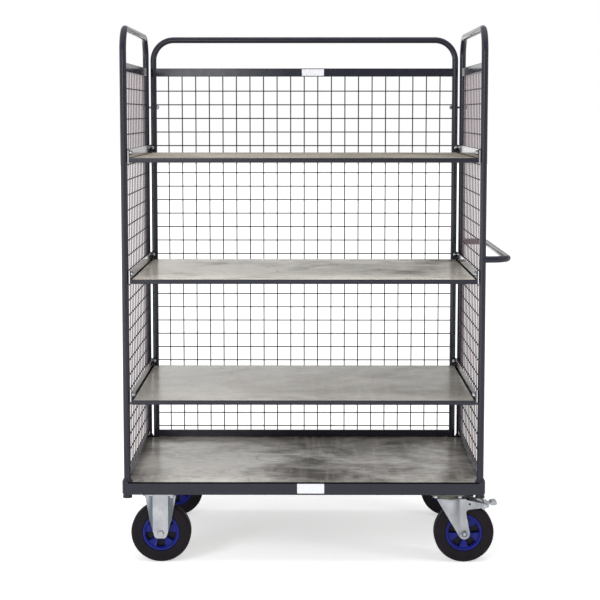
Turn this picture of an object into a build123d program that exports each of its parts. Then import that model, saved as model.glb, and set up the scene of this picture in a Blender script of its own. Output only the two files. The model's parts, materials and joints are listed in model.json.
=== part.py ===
from build123d import *
import math
import os

# A three-sided shelf trolley, in millimetres. It stands on the floor at Z = 0, its open front
# faces -Y and its push handle is at the +X end. Pieces are placed about the middle of the base,
# and the whole trolley is then shifted along X so that the origin lies under its box's middle.

# Overall sizes
base_length = 1200.0
base_depth = 750.0
hoop_height = 1780.0
back_hoop_height = 1772.0
castor_height = 241.0

# Fits and gaps
weld_gap = 0.2
running_gap = 0.05
hole_gap = 0.1

# Bent tube of the hoops and the push handle
tube_diameter = 22.2
tube_wall = 1.6
hoop_bend = 75.0
hoop_gap = 6.0
handle_bend = 60.0
handle_reach = 88.0
handle_height = 1020.0

# Bars across the hoops
bar_depth = 12.0
bar_wall = 1.5
bar_corner = 2.0
top_bar_height = 30.0
top_bar_drop = 122.0
bottom_bar_height = 25.0

# Welded mesh
mesh_pitch = 50.0
mesh_wire = 4.0
mesh_first_row = 16.0

# Base
rail_height = 43.0
rail_wall = 3.0
rail_setback = 0.5
ledge_width = 30.0
deck_thickness = 12.0
deck_gap = 0.5
channel_width = 130.0
middle_channel_width = 60.0
deck_screw_inset = 48.0
deck_screw_head = 5.0
deck_screw_head_height = 2.5
deck_screw_round = 2.0
deck_screw_shank = 2.0
deck_screw_edge = 17.0

# Corner sockets
collar_wall = 5.7
spigot_wall = 3.2
socket_clearance = 0.2
socket_drop = 12.0
socket_floor = 4.0
socket_foot = 1.2
socket_foot_height = 3.0
socket_step = 4.0
cone_rise = 10.0
cone_lip = 1.4

# Shelves
shelf_tops = {"lower": 556.0, "middle": 955.0, "top": 1350.0}
board_thickness = 12.0
shelf_steel = 3.0
shelf_flange = 25.0
shelf_side_gap = 5.5
shelf_rear_gap = 2.0
end_plate_thickness = 2.5
end_plate_rise = 29.0
board_end_gap = 4.0
board_edge_gap = 0.3
shelf_bolt_rise = 18.0
shelf_bolt_shank = 4.0
shelf_bolt_dome = 8.0
shelf_bolt_collar = 3.0
lug_height = 18.0
lug_reach = 10.0
lug_lap = 3.3
lug_depth = 11.0

# Bolts between the back hoop and the rear uprights
hoop_bolt_height = 1515.0
hoop_bolt_shank = 4.0
hoop_bolt_flats = 13.0
hoop_bolt_head = 5.3
hoop_nut_height = 6.5
bolt_end = 2.0

# Castor places, plates and fixings
castor_end_inset = 123.0
castor_side_inset = 75.0
castor_plate_length = 110.0
castor_plate_width = 138.0
castor_plate_thickness = 5.0
castor_plate_corner = 10.0
castor_hole_length = 80.0
castor_hole_width = 105.0
castor_bolt_shank = 5.0
castor_bolt_flats = 17.0
castor_bolt_head = 6.4
castor_nut_height = 8.0

# Wheels
wheel_diameter = 200.0
tyre_width = 50.0
tyre_shoulder = 11.0
tyre_bead = 6.0
tyre_bead_step = 3.0
centre_diameter = 124.0
centre_rim = 9.0
centre_rim_width = 44.0
centre_disc = 34.0
centre_web = 6.0
hub_diameter = 42.0
hub_length = 63.0
pocket_count = 5
pocket_inner_radius = 24.0
pocket_outer_radius = 50.0
pocket_inner_width = 18.0
pocket_outer_width = 30.0
fixed_pocket_angle = -90.0
swivel_pocket_angle = 90.0

# Axle and roller bearing
axle_shank = 6.0
axle_flats = 19.0
axle_head = 7.5
axle_nut_height = 10.0
spacer_diameter = 20.0
roller_diameter = 5.9
roller_count = 10
roller_length = 48.0
cage_wall = 2.5
cage_end = 5.0

# Forks
fork_steel = 3.5
fork_gap = 65.0
fork_eye = 18.5
fork_bend = 8.0
fixed_fork_top = 53.0
fixed_fork_waist = 37.0
fixed_fork_waist_rise = 45.0
fixed_fork_toe_radius = 12.0
fixed_fork_toe_spread = 19.0
fixed_fork_toe_drop = 4.5
fixed_fork_flat = 51.0
fixed_fork_fold = 6.0
fixed_fork_fold_width = 16.0
swivel_trail = 58.0
swivel_fork_front = 38.0
swivel_fork_back = 53.0
fork_rib_start = 8.0
fork_rib_width = 30.0
fork_rib_rise = 3.0
fork_rib_slope = 6.0
fork_arm_reach = 81.0
fork_arm_top = 99.0
fork_arm_bottom = 90.0
fork_arm_root = 81.0
fork_arm_shoulder_reach = 10.0
fork_arm_shoulder = 114.0
fork_arm_fillet = 12.0
fork_arm_end = 4.0
spring_hole = 2.8
spring_hole_reach = 17.0
spring_hole_rise = 101.0

# Swivel head
crown_radius = 44.0
crown_thickness = 5.0
race_thickness = 4.0
race_inner_radius = 28.0
race_outer_radius = 40.0
race_rim_gap = 0.5
race_rim_top_gap = 1.0
ball_diameter = 8.0
ball_count = 18
king_pin_radius = 8.0
king_pin_head = 14.0
king_pin_head_height = 5.0
king_pin_gap = 0.3

# Brake pedal
pedal_pivot_reach = 69.0
pedal_pivot_rise = 95.0
pedal_pin_radius = 4.0
pedal_pin_head = 6.5
pedal_pin_head_height = 2.5
pedal_barrel = 8.0
pedal_side_gap = 1.0
pedal_width = 44.0
pedal_plate = 4.0
pedal_foot_length = 41.0
pedal_foot_angle = 9.0
pedal_pad_length = 22.0
pedal_pad_height = 12.0
pedal_heel_length = 32.0
pedal_heel_angle = 145.0
pedal_shoe_width = 12.0
pedal_shoe_gap = 0.44
pedal_travel = 15.0

# Places worked out from the sizes above
tube_radius = tube_diameter / 2
socket_bore = tube_radius + socket_clearance
collar_radius = socket_bore + collar_wall
spigot_radius = socket_bore + spigot_wall
leg_x = base_length / 2 - collar_radius
leg_y = base_depth / 2 - collar_radius
back_leg_x = leg_x - tube_diameter - hoop_gap
base_bottom = castor_height
deck_top = base_bottom + rail_height
deck_bottom = deck_top - deck_thickness
rail_inner_x = base_length / 2 - rail_setback - rail_wall
rail_inner_y = base_depth / 2 - rail_setback - rail_wall
ledge_inner_y = rail_inner_y - ledge_width
socket_bottom = base_bottom - socket_drop
leg_bottom = socket_bottom + socket_floor
bottom_bar_top = deck_top + bottom_bar_height
top_bar_top = hoop_height - top_bar_drop
top_bar_bottom = top_bar_top - top_bar_height
shelf_end = leg_x - tube_radius - shelf_side_gap
shelf_inner = shelf_end - end_plate_thickness
shelf_front = -(leg_y + tube_radius)
shelf_rear = leg_y - tube_radius - shelf_rear_gap
shelf_edge = board_thickness + shelf_steel
rear_bolt_y = leg_y - tube_radius - shelf_bolt_dome - shelf_rear_gap
castor_x = base_length / 2 - castor_end_inset
castor_y = base_depth / 2 - castor_side_inset
plate_bottom = castor_height - castor_plate_thickness
wheel_radius = wheel_diameter / 2
spacer_radius = spacer_diameter / 2
roller_pitch = spacer_radius + running_gap + roller_diameter / 2
hub_bore = roller_pitch + roller_diameter / 2 + running_gap
fork_outer = fork_gap / 2 + fork_steel
crown_top = plate_bottom - race_thickness - ball_diameter - 2 * running_gap
crown_bottom = crown_top - crown_thickness
ball_pitch = (race_inner_radius + race_outer_radius) / 2
handle_outer = leg_x + tube_radius + handle_reach
handle_x = handle_outer - tube_radius
origin_shift = Pos((base_length / 2 - handle_outer) / 2, 0, 0)

on_floor = (Align.CENTER, Align.CENTER, Align.MIN)
ends = {"left": -1, "right": 1}
corners = [(x, y) for x in (-1, 1) for y in (-1, 1)]


def block(x0, x1, y0, y1, z0, z1):
    """A box between two corners."""
    middle = Pos((x0 + x1) / 2, (y0 + y1) / 2, (z0 + z1) / 2)
    return middle * Box(abs(x1 - x0), abs(y1 - y0), abs(z1 - z0))


def post(x, y, z0, z1, radius):
    """A round bar along Z."""
    return Pos(x, y, z0) * Cylinder(radius, z1 - z0, align=on_floor)


def rod_x(x0, x1, y, z, radius):
    """A round bar along X."""
    return Pos((x0 + x1) / 2, y, z) * Rot(0, 90, 0) * Cylinder(radius, abs(x1 - x0))


def rod_y(x, y0, y1, z, radius):
    """A round bar along Y."""
    return Pos(x, (y0 + y1) / 2, z) * Rot(90, 0, 0) * Cylinder(radius, abs(y1 - y0))


def hexagon(flats, height):
    """A hexagonal head or nut, from the floor up."""
    return extrude(RegularPolygon(flats / 2, 6, major_radius=False), height)


def bent_tube(points, bend):
    """A hollow tube along straight runs joined by bends of one radius."""
    path = FilletPolyline(*points, radius=bend)
    section = Circle(tube_radius) - Circle(tube_radius - tube_wall)
    return sweep(Plane(origin=path @ 0, z_dir=path % 0) * section, path=path)


def profile_xz(sketch, y0, y1):
    """A shape drawn in X and Z, carried from y0 to y1."""
    return extrude(Plane((0, y1, 0), x_dir=(1, 0, 0), z_dir=(0, -1, 0)) * sketch, y1 - y0)


# Base frame


def rail(socket_along, socket_across, inner, ledge_half_length):
    """A rail along X: an upright web, coped to the sockets, with a ledge for the deck."""
    web = block(-socket_along, socket_along, inner, inner + rail_wall, base_bottom, deck_top)
    edge = inner - ledge_width
    ledge = block(-ledge_half_length, ledge_half_length, edge, inner, deck_bottom - rail_wall, deck_bottom)
    whole = web + ledge
    for side in (-1, 1):
        whole -= post(side * socket_along, socket_across, base_bottom, deck_top, collar_radius + weld_gap)
    return whole


def base_rails():
    long_rail = rail(leg_x, leg_y, rail_inner_y, leg_x - collar_radius - weld_gap)
    end_ledge = min(leg_y - collar_radius, ledge_inner_y) - weld_gap
    end_rail = rail(leg_y, leg_x, rail_inner_x, end_ledge)
    rails = {}
    for name, side, turn in (("front", -1, 180), ("rear", 1, 0)):
        whole = Rot(0, 0, turn) * long_rail
        for x, y in screw_places():
            if y * side > 0:
                whole -= post(x, y, base_bottom, deck_top, deck_screw_shank + hole_gap)
        rails[f"base_{name}_rail"] = whole
    rails["base_end_rails"] = Compound([Rot(0, 0, turn) * end_rail for turn in (-90, 90)])
    return rails


def cross_channel(x, width):
    """A channel from rail to rail, open at the top, that fits under the ledges."""
    half = width / 2
    inside = half - rail_wall
    end = rail_inner_y
    notch = ledge_inner_y - weld_gap
    ledge_bottom = deck_bottom - rail_wall
    channel = block(x - half, x + half, -end, end, base_bottom, deck_bottom)
    channel -= block(x - inside, x + inside, -end, end, base_bottom + rail_wall, deck_bottom)
    for side in (-1, 1):
        channel -= block(x - half, x + half, side * notch, side * end, ledge_bottom, deck_bottom)
    return channel


def cross_channels():
    channels = [cross_channel(0, middle_channel_width)]
    for side in (-1, 1):
        channel = cross_channel(side * castor_x, channel_width)
        for x, y in castor_holes():
            if x * side > 0:
                channel -= post(x, y, base_bottom, deck_bottom, castor_bolt_shank + hole_gap)
        channels.append(channel)
    return Compound(channels)


def corner_sockets():
    top = deck_top + cone_rise
    foot_top = socket_bottom + socket_foot_height
    outline = Polyline(
        (0, socket_bottom),
        (spigot_radius + socket_foot, socket_bottom),
        (spigot_radius + socket_foot, foot_top),
        (spigot_radius, foot_top + socket_foot),
        (spigot_radius, base_bottom + weld_gap),
        (collar_radius, base_bottom + socket_step),
        (collar_radius, deck_top),
        (socket_bore + cone_lip, top),
        (socket_bore, top),
        (socket_bore, leg_bottom),
        (0, leg_bottom),
        close=True,
    )
    socket = revolve(Plane.XZ * make_face(outline), Axis.Z)
    return Compound([Pos(x * leg_x, y * leg_y, 0) * socket for x, y in corners])


def screw_places():
    """Deck screws: two behind the front rail, two in front of the back panel's bottom bar."""
    x = leg_x - deck_screw_inset
    rear = leg_y - bar_depth / 2 - deck_screw_head - 2 * deck_gap
    return [(side * x, y) for side in (-1, 1) for y in (-base_depth / 2 + deck_screw_edge, rear)]


def deck_board():
    x = rail_inner_x - deck_gap
    y = rail_inner_y - deck_gap
    notch_x = leg_x - collar_radius - deck_gap
    notch_y = leg_y - collar_radius - deck_gap
    back_notch_x = back_leg_x - tube_radius - deck_gap
    back_notch_y = leg_y - tube_radius - deck_gap
    board = block(-x, x, -y, y, deck_bottom, deck_top)
    for side_x, side_y in corners:
        board -= block(side_x * notch_x, side_x * x, side_y * notch_y, side_y * y, deck_bottom, deck_top)
    for side in (-1, 1):
        board -= block(side * back_notch_x, side * x, back_notch_y, y, deck_bottom, deck_top)
    for hole_x, hole_y in screw_places():
        board -= post(hole_x, hole_y, deck_bottom, deck_top, deck_screw_shank + hole_gap)
    return board


def deck_screws():
    head = Cylinder(deck_screw_head, deck_screw_head_height, align=on_floor)
    head = fillet(head.edges().group_by(Axis.Z)[-1], deck_screw_round)
    shank_length = deck_thickness + 2 * rail_wall
    screw = head + Pos(0, 0, -shank_length) * Cylinder(deck_screw_shank, shank_length, align=on_floor)
    return Compound([Pos(x, y, deck_top) * screw for x, y in screw_places()])


# Hoops, bars, mesh and handle


def shelf_bolt_levels():
    return [top + shelf_bolt_rise for top in shelf_tops.values()]


def end_hoop(side):
    """An end hoop with the holes for its shelf bolts and, in the rear leg, the back hoop's bolt."""
    x = side * leg_x
    top = hoop_height - tube_radius
    points = [(x, -leg_y, leg_bottom), (x, -leg_y, top), (x, leg_y, top), (x, leg_y, leg_bottom)]
    hoop = bent_tube(points, hoop_bend)
    inner_wall = side * (leg_x - tube_diameter)
    for level in shelf_bolt_levels():
        hoop -= rod_x(inner_wall, x, -leg_y, level, shelf_bolt_shank + hole_gap)
    across = tube_diameter
    return hoop - rod_x(x - across, x + across, leg_y, hoop_bolt_height, hoop_bolt_shank + hole_gap)


def back_hoop():
    top = back_hoop_height - tube_radius
    x = back_leg_x
    points = [(-x, leg_y, deck_bottom), (-x, leg_y, top), (x, leg_y, top), (x, leg_y, deck_bottom)]
    hole = rod_x(-leg_x, leg_x, leg_y, hoop_bolt_height, hoop_bolt_shank + hole_gap)
    return bent_tube(points, hoop_bend) - hole


def bar(half_length, height, end_radius):
    """A box-section bar along X from the floor up, coped at both ends to a round post."""
    outside = RectangleRounded(bar_depth, height, bar_corner)
    inside = Rectangle(bar_depth - 2 * bar_wall, height - 2 * bar_wall)
    whole = Rot(0, 90, 0) * Rot(0, 0, 90) * extrude(outside - inside, half_length, both=True)
    whole = Pos(0, 0, height / 2) * whole
    for side in (-1, 1):
        whole -= post(side * half_length, 0, 0, height, end_radius + weld_gap)
    return whole


def hoop_bars(height, level, end_collar):
    """The bars at one level, one in each hoop; those of the end hoops end at the given radius."""
    end_bar = Rot(0, 0, 90) * bar(leg_y, height, end_collar)
    bars = [Pos(side * leg_x, 0, level) * end_bar for side in (-1, 1)]
    return Compound([*bars, Pos(0, leg_y, level) * bar(back_leg_x, height, tube_radius)])


def mesh_panel(half_length):
    """Welded mesh along X: square-section wires at one pitch, their ends on the hoop and its bars."""
    low = bottom_bar_top + weld_gap
    high = top_bar_bottom - weld_gap
    reach = half_length - tube_radius - weld_gap
    columns = math.floor((reach - mesh_wire) / mesh_pitch)
    first_row = bottom_bar_top + mesh_first_row
    rows = math.floor((high - mesh_first_row - first_row) / mesh_pitch)
    uprights = [
        Pos(column * mesh_pitch, (low + high) / 2) * Rectangle(mesh_wire, high - low)
        for column in range(-columns, columns + 1)
    ]
    levels = [
        Pos(0, first_row + row * mesh_pitch) * Rectangle(2 * reach, mesh_wire) for row in range(rows + 1)
    ]
    grid = Sketch() + uprights + levels
    return profile_xz(grid, -mesh_wire / 2, mesh_wire / 2)


def mesh_panels():
    end_panel = Rot(0, 0, 90) * mesh_panel(leg_y)
    return {
        "end_meshes": Compound([Pos(side * leg_x, 0, 0) * end_panel for side in (-1, 1)]),
        "back_mesh": Pos(0, leg_y, 0) * mesh_panel(back_leg_x),
    }


def push_handle():
    """A level bow of tube between the two right legs, its ends coped to them."""
    points = [
        (leg_x, -leg_y, handle_height),
        (handle_x, -leg_y, handle_height),
        (handle_x, leg_y, handle_height),
        (leg_x, leg_y, handle_height),
    ]
    handle = bent_tube(points, handle_bend)
    low = handle_height - tube_diameter
    high = handle_height + tube_diameter
    for side in (-1, 1):
        handle -= post(leg_x, side * leg_y, low, high, tube_radius + weld_gap)
    return handle


def hoop_bolts():
    head_x = leg_x + tube_radius + weld_gap
    end_x = back_leg_x - tube_radius - weld_gap - hoop_nut_height - bolt_end
    head = Rot(0, 90, 0) * hexagon(hoop_bolt_flats, hoop_bolt_head)
    bolt = Pos(head_x, leg_y, hoop_bolt_height) * head
    bolt += rod_x(end_x, head_x, leg_y, hoop_bolt_height, hoop_bolt_shank)
    return Compound([bolt, Pos(0, 2 * leg_y, 0) * Rot(0, 0, 180) * bolt])


def hoop_nuts():
    bore = Cylinder(hoop_bolt_shank + running_gap, hoop_nut_height, align=on_floor)
    nut = Rot(0, -90, 0) * (hexagon(hoop_bolt_flats, hoop_nut_height) - bore)
    nut = Pos(back_leg_x - tube_radius - weld_gap, leg_y, hoop_bolt_height) * nut
    return Compound([nut, Pos(0, 2 * leg_y, 0) * Rot(0, 0, 180) * nut])


# Shelves


def shelf_frame(top):
    """Front and rear edge angles, and the bearers under the board's two ends."""
    bottom = top - shelf_edge
    seat = bottom + shelf_steel
    pieces = []
    for edge, inward in ((shelf_front, 1), (shelf_rear, -1)):
        lip = block(-shelf_inner, shelf_inner, edge, edge + inward * shelf_steel, bottom, top)
        flange = block(-shelf_inner, shelf_inner, edge, edge + inward * shelf_flange, bottom, seat)
        pieces.append(lip + flange)
    front = shelf_front + shelf_flange
    rear = shelf_rear - shelf_flange
    for side in (-1, 1):
        inner = side * (shelf_inner - shelf_flange)
        pieces.append(block(inner, side * shelf_inner, front, rear, bottom, seat))
    return Compound(pieces)


def shelf_board(top):
    x = shelf_inner - board_end_gap
    inset = shelf_steel + board_edge_gap
    return block(-x, x, shelf_front + inset, shelf_rear - inset, top - board_thickness, top)


def shelf_bolt_rows():
    """Where a shelf's bolts stand along Y, and how far from the middle each one ends."""
    return [(-leg_y, leg_x), (rear_bolt_y, shelf_end + lug_depth)]


def shelf_end_plates():
    plates = []
    for top in shelf_tops.values():
        level = top + shelf_bolt_rise
        for side in (-1, 1):
            inner = side * shelf_inner
            outer = side * shelf_end
            plate = block(inner, outer, shelf_front, shelf_rear, top - shelf_edge, top + end_plate_rise)
            for y, _ in shelf_bolt_rows():
                plate -= rod_x(inner, outer, y, level, shelf_bolt_shank + hole_gap)
            plates.append(plate)
    return Compound(plates)


def rear_lugs():
    """Blocks welded to the rear uprights, which the shelves' rear bolts screw into."""
    lugs = []
    front = rear_bolt_y - lug_reach
    back = leg_y - tube_radius + lug_lap
    for level in shelf_bolt_levels():
        low = level - lug_height / 2
        high = level + lug_height / 2
        for side in (-1, 1):
            inner = side * shelf_end
            outer = side * (shelf_end + lug_depth)
            lug = block(inner, outer, front, back, low, high)
            lug -= post(side * leg_x, leg_y, low, high, tube_radius + weld_gap)
            lug -= rod_x(inner, outer, rear_bolt_y, level, shelf_bolt_shank + hole_gap)
            lugs.append(lug)
    return Compound(lugs)


def shelf_bolts():
    bolts = []
    dome = Pos(0, 0, shelf_bolt_collar) * Sphere(shelf_bolt_dome, arc_size1=0, align=on_floor)
    dome += Cylinder(shelf_bolt_dome, shelf_bolt_collar, align=on_floor)
    for level in shelf_bolt_levels():
        for side in (-1, 1):
            head = Pos(side * shelf_inner, 0, 0) * Rot(0, -90 * side, 0) * dome
            for y, end in shelf_bolt_rows():
                bolt = Pos(0, y, level) * head
                bolts.append(bolt + rod_x(side * shelf_inner, side * end, y, level, shelf_bolt_shank))
    return Compound(bolts)


# Castors, each drawn about its own swivel axis with the wheel's plane at Y = 0


def castor_holes():
    return [
        (x * castor_x + i * castor_hole_length / 2, y * castor_y + j * castor_hole_width / 2)
        for x, y in corners
        for i, j in corners
    ]


def castor_plate():
    outline = RectangleRounded(castor_plate_length, castor_plate_width, castor_plate_corner)
    hole = Circle(castor_bolt_shank + hole_gap)
    outline -= GridLocations(castor_hole_length, castor_hole_width, 2, 2) * hole
    return Pos(0, 0, plate_bottom) * extrude(outline, castor_plate_thickness)


def castor_bolts():
    shank = rail_wall + castor_plate_thickness + castor_nut_height + bolt_end
    bolt = hexagon(castor_bolt_flats, castor_bolt_head)
    bolt += Pos(0, 0, -shank) * Cylinder(castor_bolt_shank, shank, align=on_floor)
    return Compound([Pos(x, y, base_bottom + rail_wall) * bolt for x, y in castor_holes()])


def castor_nuts():
    nut = hexagon(castor_bolt_flats, castor_nut_height)
    nut -= Cylinder(castor_bolt_shank + running_gap, castor_nut_height, align=on_floor)
    return Compound([Pos(x, y, plate_bottom - castor_nut_height) * nut for x, y in castor_holes()])


def folded_strip(points, top):
    """A strip of the fork's steel from the floor up, its outer face along the points in X and Y."""
    inner = [(x, y - fork_steel) for x, y in points]
    return extrude(make_face(Polyline(*inner, *reversed(points), close=True)), top)


def both_sides(shape):
    """A piece on the +Y side of a castor and its twin on the other side."""
    return shape + mirror(shape, about=Plane.XZ)


def fixed_fork():
    """A castor plate with two pressed legs, each with a raised flat middle, a fold on each side and flat rims."""
    half_flat = fixed_fork_flat / 2
    fold_end = half_flat + fixed_fork_fold_width
    edge = fork_outer - fixed_fork_fold
    top = plate_bottom + castor_plate_thickness / 2
    waist = wheel_radius + fixed_fork_waist_rise
    left = [(-fixed_fork_top, edge), (-fold_end, edge), (-half_flat, fork_outer)]
    right = [(-x, y) for x, y in reversed(left)]
    strip = folded_strip(left + right, top)
    toe = wheel_radius - fixed_fork_toe_drop
    edges = [Line((-fixed_fork_top, top), (fixed_fork_top, top))]
    edges.append(Line((-fixed_fork_waist, waist), (fixed_fork_waist, waist)))
    for side in (-1, 1):
        edges += (Pos(side * fixed_fork_toe_spread / 2, toe) * Circle(fixed_fork_toe_radius)).edges()
    leg = strip & profile_xz(make_hull(edges), 0, castor_plate_width)
    fork = castor_plate() + both_sides(leg)
    return fork - rod_y(0, -castor_plate_width, castor_plate_width, wheel_radius, axle_shank + hole_gap)


def swivel_fork_outline():
    """The swivel fork from the side: a tapered leg with an arm that trails back to the pedal."""
    reach = swivel_trail + fork_arm_reach
    root = wheel_radius + fork_arm_root
    eye = Pos(swivel_trail, wheel_radius) * Circle(fork_eye)
    crown_line = Line((-swivel_fork_front, crown_top), (swivel_fork_back, crown_top))
    arm = Polygon(
        (swivel_trail, root),
        (reach, wheel_radius + fork_arm_bottom),
        (reach, wheel_radius + fork_arm_top),
        (swivel_trail + fork_arm_shoulder_reach, wheel_radius + fork_arm_shoulder),
        (swivel_fork_back, crown_top),
        (fork_rib_start, crown_top),
        align=None,
    )
    outline = make_hull([*eye.edges(), crown_line]) + arm
    armpit = outline.vertices().sort_by_distance((swivel_trail + fork_eye / 2, root, 0))[0]
    outline = fillet(armpit, fork_arm_fillet)
    return fillet(outline.vertices().group_by(Axis.X)[-1], fork_arm_end)


def swivel_fork():
    """A pressed fork: a crown with the lower race, bent into two ribbed legs with arms for the pedal."""
    rib_end = fork_rib_start + fork_rib_width
    strip = folded_strip(
        [
            (-swivel_fork_front, fork_outer),
            (fork_rib_start - fork_rib_slope, fork_outer),
            (fork_rib_start, fork_outer + fork_rib_rise),
            (rib_end, fork_outer + fork_rib_rise),
            (rib_end + fork_rib_slope, fork_outer),
            (swivel_trail + fork_arm_reach, fork_outer),
        ],
        crown_top - fork_bend,
    )
    arch_height = 2 * fork_bend
    arch = Rectangle(2 * fork_outer, arch_height, align=(Align.CENTER, Align.MAX))
    arch = fillet(arch.vertices().group_by(Axis.Y)[-1], fork_bend)
    inside = Rectangle(fork_gap, arch_height, align=(Align.CENTER, Align.MAX))
    inside = fillet(inside.vertices().group_by(Axis.Y)[-1], fork_bend - fork_steel)
    arch -= Pos(0, -crown_thickness) * inside
    crown_reach = swivel_trail + fork_arm_shoulder_reach
    crown = Plane((-swivel_fork_front, 0, crown_top), x_dir=(0, 1, 0), z_dir=(1, 0, 0)) * arch
    pressing = both_sides(strip) + extrude(crown, swivel_fork_front + crown_reach)
    across = castor_plate_width
    fork = pressing & profile_xz(swivel_fork_outline(), -across, across)
    fork += post(0, 0, crown_bottom, crown_top, crown_radius)
    rim_top = plate_bottom - race_rim_top_gap
    fork += post(0, 0, crown_top, rim_top, crown_radius)
    fork -= post(0, 0, crown_top, rim_top, race_outer_radius + race_rim_gap)
    fork -= post(0, 0, crown_bottom, crown_top, king_pin_radius + running_gap)
    for reach, rise, radius in (
        (0, 0, axle_shank + hole_gap),
        (pedal_pivot_reach, pedal_pivot_rise, pedal_pin_radius + hole_gap),
        (spring_hole_reach, spring_hole_rise, spring_hole),
    ):
        fork -= rod_y(swivel_trail + reach, -across, across, wheel_radius + rise, radius)
    return fork


def swivel_plate():
    race = Cylinder(race_outer_radius, race_thickness, align=on_floor)
    race -= Cylinder(race_inner_radius, race_thickness, align=on_floor)
    plate = castor_plate() + Pos(0, 0, plate_bottom - race_thickness) * race
    return plate - post(0, 0, plate_bottom, castor_height, king_pin_radius + running_gap)


def king_pin():
    head_top = crown_bottom - king_pin_gap
    pin = post(0, 0, head_top - king_pin_head_height, head_top, king_pin_head)
    return pin + post(0, 0, head_top, castor_height, king_pin_radius)


def swivel_balls():
    level = crown_top + running_gap + ball_diameter / 2
    places = Pos(0, 0, level) * PolarLocations(ball_pitch, ball_count)
    return Compound([place * Sphere(ball_diameter / 2) for place in places])


def brake_pedal():
    """A rocker on a barrel: foot plate with a thick pad, heel plate and the shoe that bears on the tyre."""
    pivot_to_axle = math.hypot(pedal_pivot_reach, pedal_pivot_rise)
    shoe_reach = pivot_to_axle - wheel_radius - pedal_shoe_gap - pedal_shoe_width / 2
    to_axle = math.degrees(math.atan2(-pedal_pivot_rise, -pedal_pivot_reach))
    from_pivot = (Align.MIN, Align.CENTER)
    foot = Rectangle(pedal_foot_length, pedal_plate, align=from_pivot)
    pad_middle = pedal_foot_length - pedal_pad_length / 2
    foot += Pos(pad_middle, 0) * SlotOverall(pedal_pad_length, pedal_pad_height)
    heel = Rectangle(pedal_heel_length, pedal_plate, align=from_pivot)
    shoe = Rectangle(shoe_reach, pedal_shoe_width, align=from_pivot)
    shoe += Pos(shoe_reach, 0) * Circle(pedal_shoe_width / 2)
    lever = Rot(0, 0, pedal_foot_angle) * foot
    lever += Rot(0, 0, pedal_heel_angle) * heel
    lever += Rot(0, 0, to_axle + pedal_travel) * shoe
    pedal = profile_xz(lever, -pedal_width / 2, pedal_width / 2)
    barrel_half = fork_gap / 2 - pedal_side_gap
    pedal += rod_y(0, -barrel_half, barrel_half, 0, pedal_barrel)
    pedal -= rod_y(0, -barrel_half, barrel_half, 0, pedal_pin_radius + running_gap)
    return Pos(swivel_trail + pedal_pivot_reach, 0, wheel_radius + pedal_pivot_rise) * pedal


def pedal_pin():
    head_end = fork_outer + pedal_pin_head_height
    pin = rod_y(0, -fork_outer, fork_outer, 0, pedal_pin_radius)
    for side in (-1, 1):
        pin += rod_y(0, side * fork_outer, side * head_end, 0, pedal_pin_head)
    return Pos(swivel_trail + pedal_pivot_reach, 0, wheel_radius + pedal_pivot_rise) * pin


def axle_bolt():
    """The axle bolt, its head towards the trolley's front."""
    shank_end = fork_outer + axle_nut_height + bolt_end
    bolt = Pos(0, -fork_outer, 0) * Rot(90, 0, 0) * hexagon(axle_flats, axle_head)
    return bolt + rod_y(0, -fork_outer, shank_end, 0, axle_shank)


def axle_nut():
    nut = hexagon(axle_flats, axle_nut_height)
    nut -= Cylinder(axle_shank + running_gap, axle_nut_height, align=on_floor)
    return Pos(0, fork_outer, 0) * Rot(-90, 0, 0) * nut


def axle_spacer():
    half = fork_gap / 2
    return rod_y(0, -half, half, 0, spacer_radius) - rod_y(0, -half, half, 0, axle_shank + hole_gap)


def tyre():
    inner = centre_diameter / 2 + hole_gap
    half = tyre_width / 2
    section = Polygon(
        (inner, half - tyre_bead_step),
        (inner + tyre_bead, half),
        (wheel_radius, half),
        (wheel_radius, -half),
        (inner + tyre_bead, -half),
        (inner, tyre_bead_step - half),
        align=None,
    )
    section = fillet(section.vertices().group_by(Axis.X)[-1], tyre_shoulder)
    return revolve(section, Axis.Y)


def wheel_centre(first_angle):
    """A plastic centre: rim, hub and a web between two rings of pockets."""
    rim_outer = centre_diameter / 2
    rim_inner = rim_outer - centre_rim
    hub = hub_diameter / 2
    half_rim = centre_rim_width / 2
    half_disc = centre_disc / 2
    half_hub = hub_length / 2
    upper = [
        (hub_bore, half_hub),
        (hub, half_hub),
        (hub, half_disc),
        (rim_inner, half_disc),
        (rim_inner, half_rim),
        (rim_outer, half_rim),
    ]
    lower = [(r, -y) for r, y in reversed(upper)]
    centre = revolve(Polygon(*upper, *lower, align=None), Axis.Y)
    pocket = Polygon(
        (pocket_inner_radius, -pocket_inner_width / 2),
        (pocket_outer_radius, -pocket_outer_width / 2),
        (pocket_outer_radius, pocket_outer_width / 2),
        (pocket_inner_radius, pocket_inner_width / 2),
        align=None,
    )
    for index in range(pocket_count):
        turned = Rot(0, 0, first_angle + index * 360 / pocket_count) * pocket
        centre -= profile_xz(turned, centre_web / 2, half_disc)
        centre -= profile_xz(turned, -half_disc, -centre_web / 2)
    return centre


def roller_bearing():
    """A roller cage and its rollers, lying along Y."""
    half_cage = roller_length / 2 + cage_end
    half_slot = roller_length / 2 + hole_gap
    cage = rod_y(0, -half_cage, half_cage, 0, roller_pitch + cage_wall / 2)
    cage -= rod_y(0, -half_cage, half_cage, 0, roller_pitch - cage_wall / 2)
    rollers = []
    for index in range(roller_count):
        angle = math.tau * index / roller_count
        x = roller_pitch * math.cos(angle)
        z = roller_pitch * math.sin(angle)
        cage -= rod_y(x, -half_slot, half_slot, z, roller_diameter / 2 + hole_gap)
        rollers.append(rod_y(x, -roller_length / 2, roller_length / 2, z, roller_diameter / 2))
    return Compound([cage, *rollers])


def at_castors(shape, end):
    """The same piece at the front and the rear castor of one end."""
    return Compound([Pos(ends[end] * castor_x, side * castor_y, 0) * shape for side in (-1, 1)])


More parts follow.
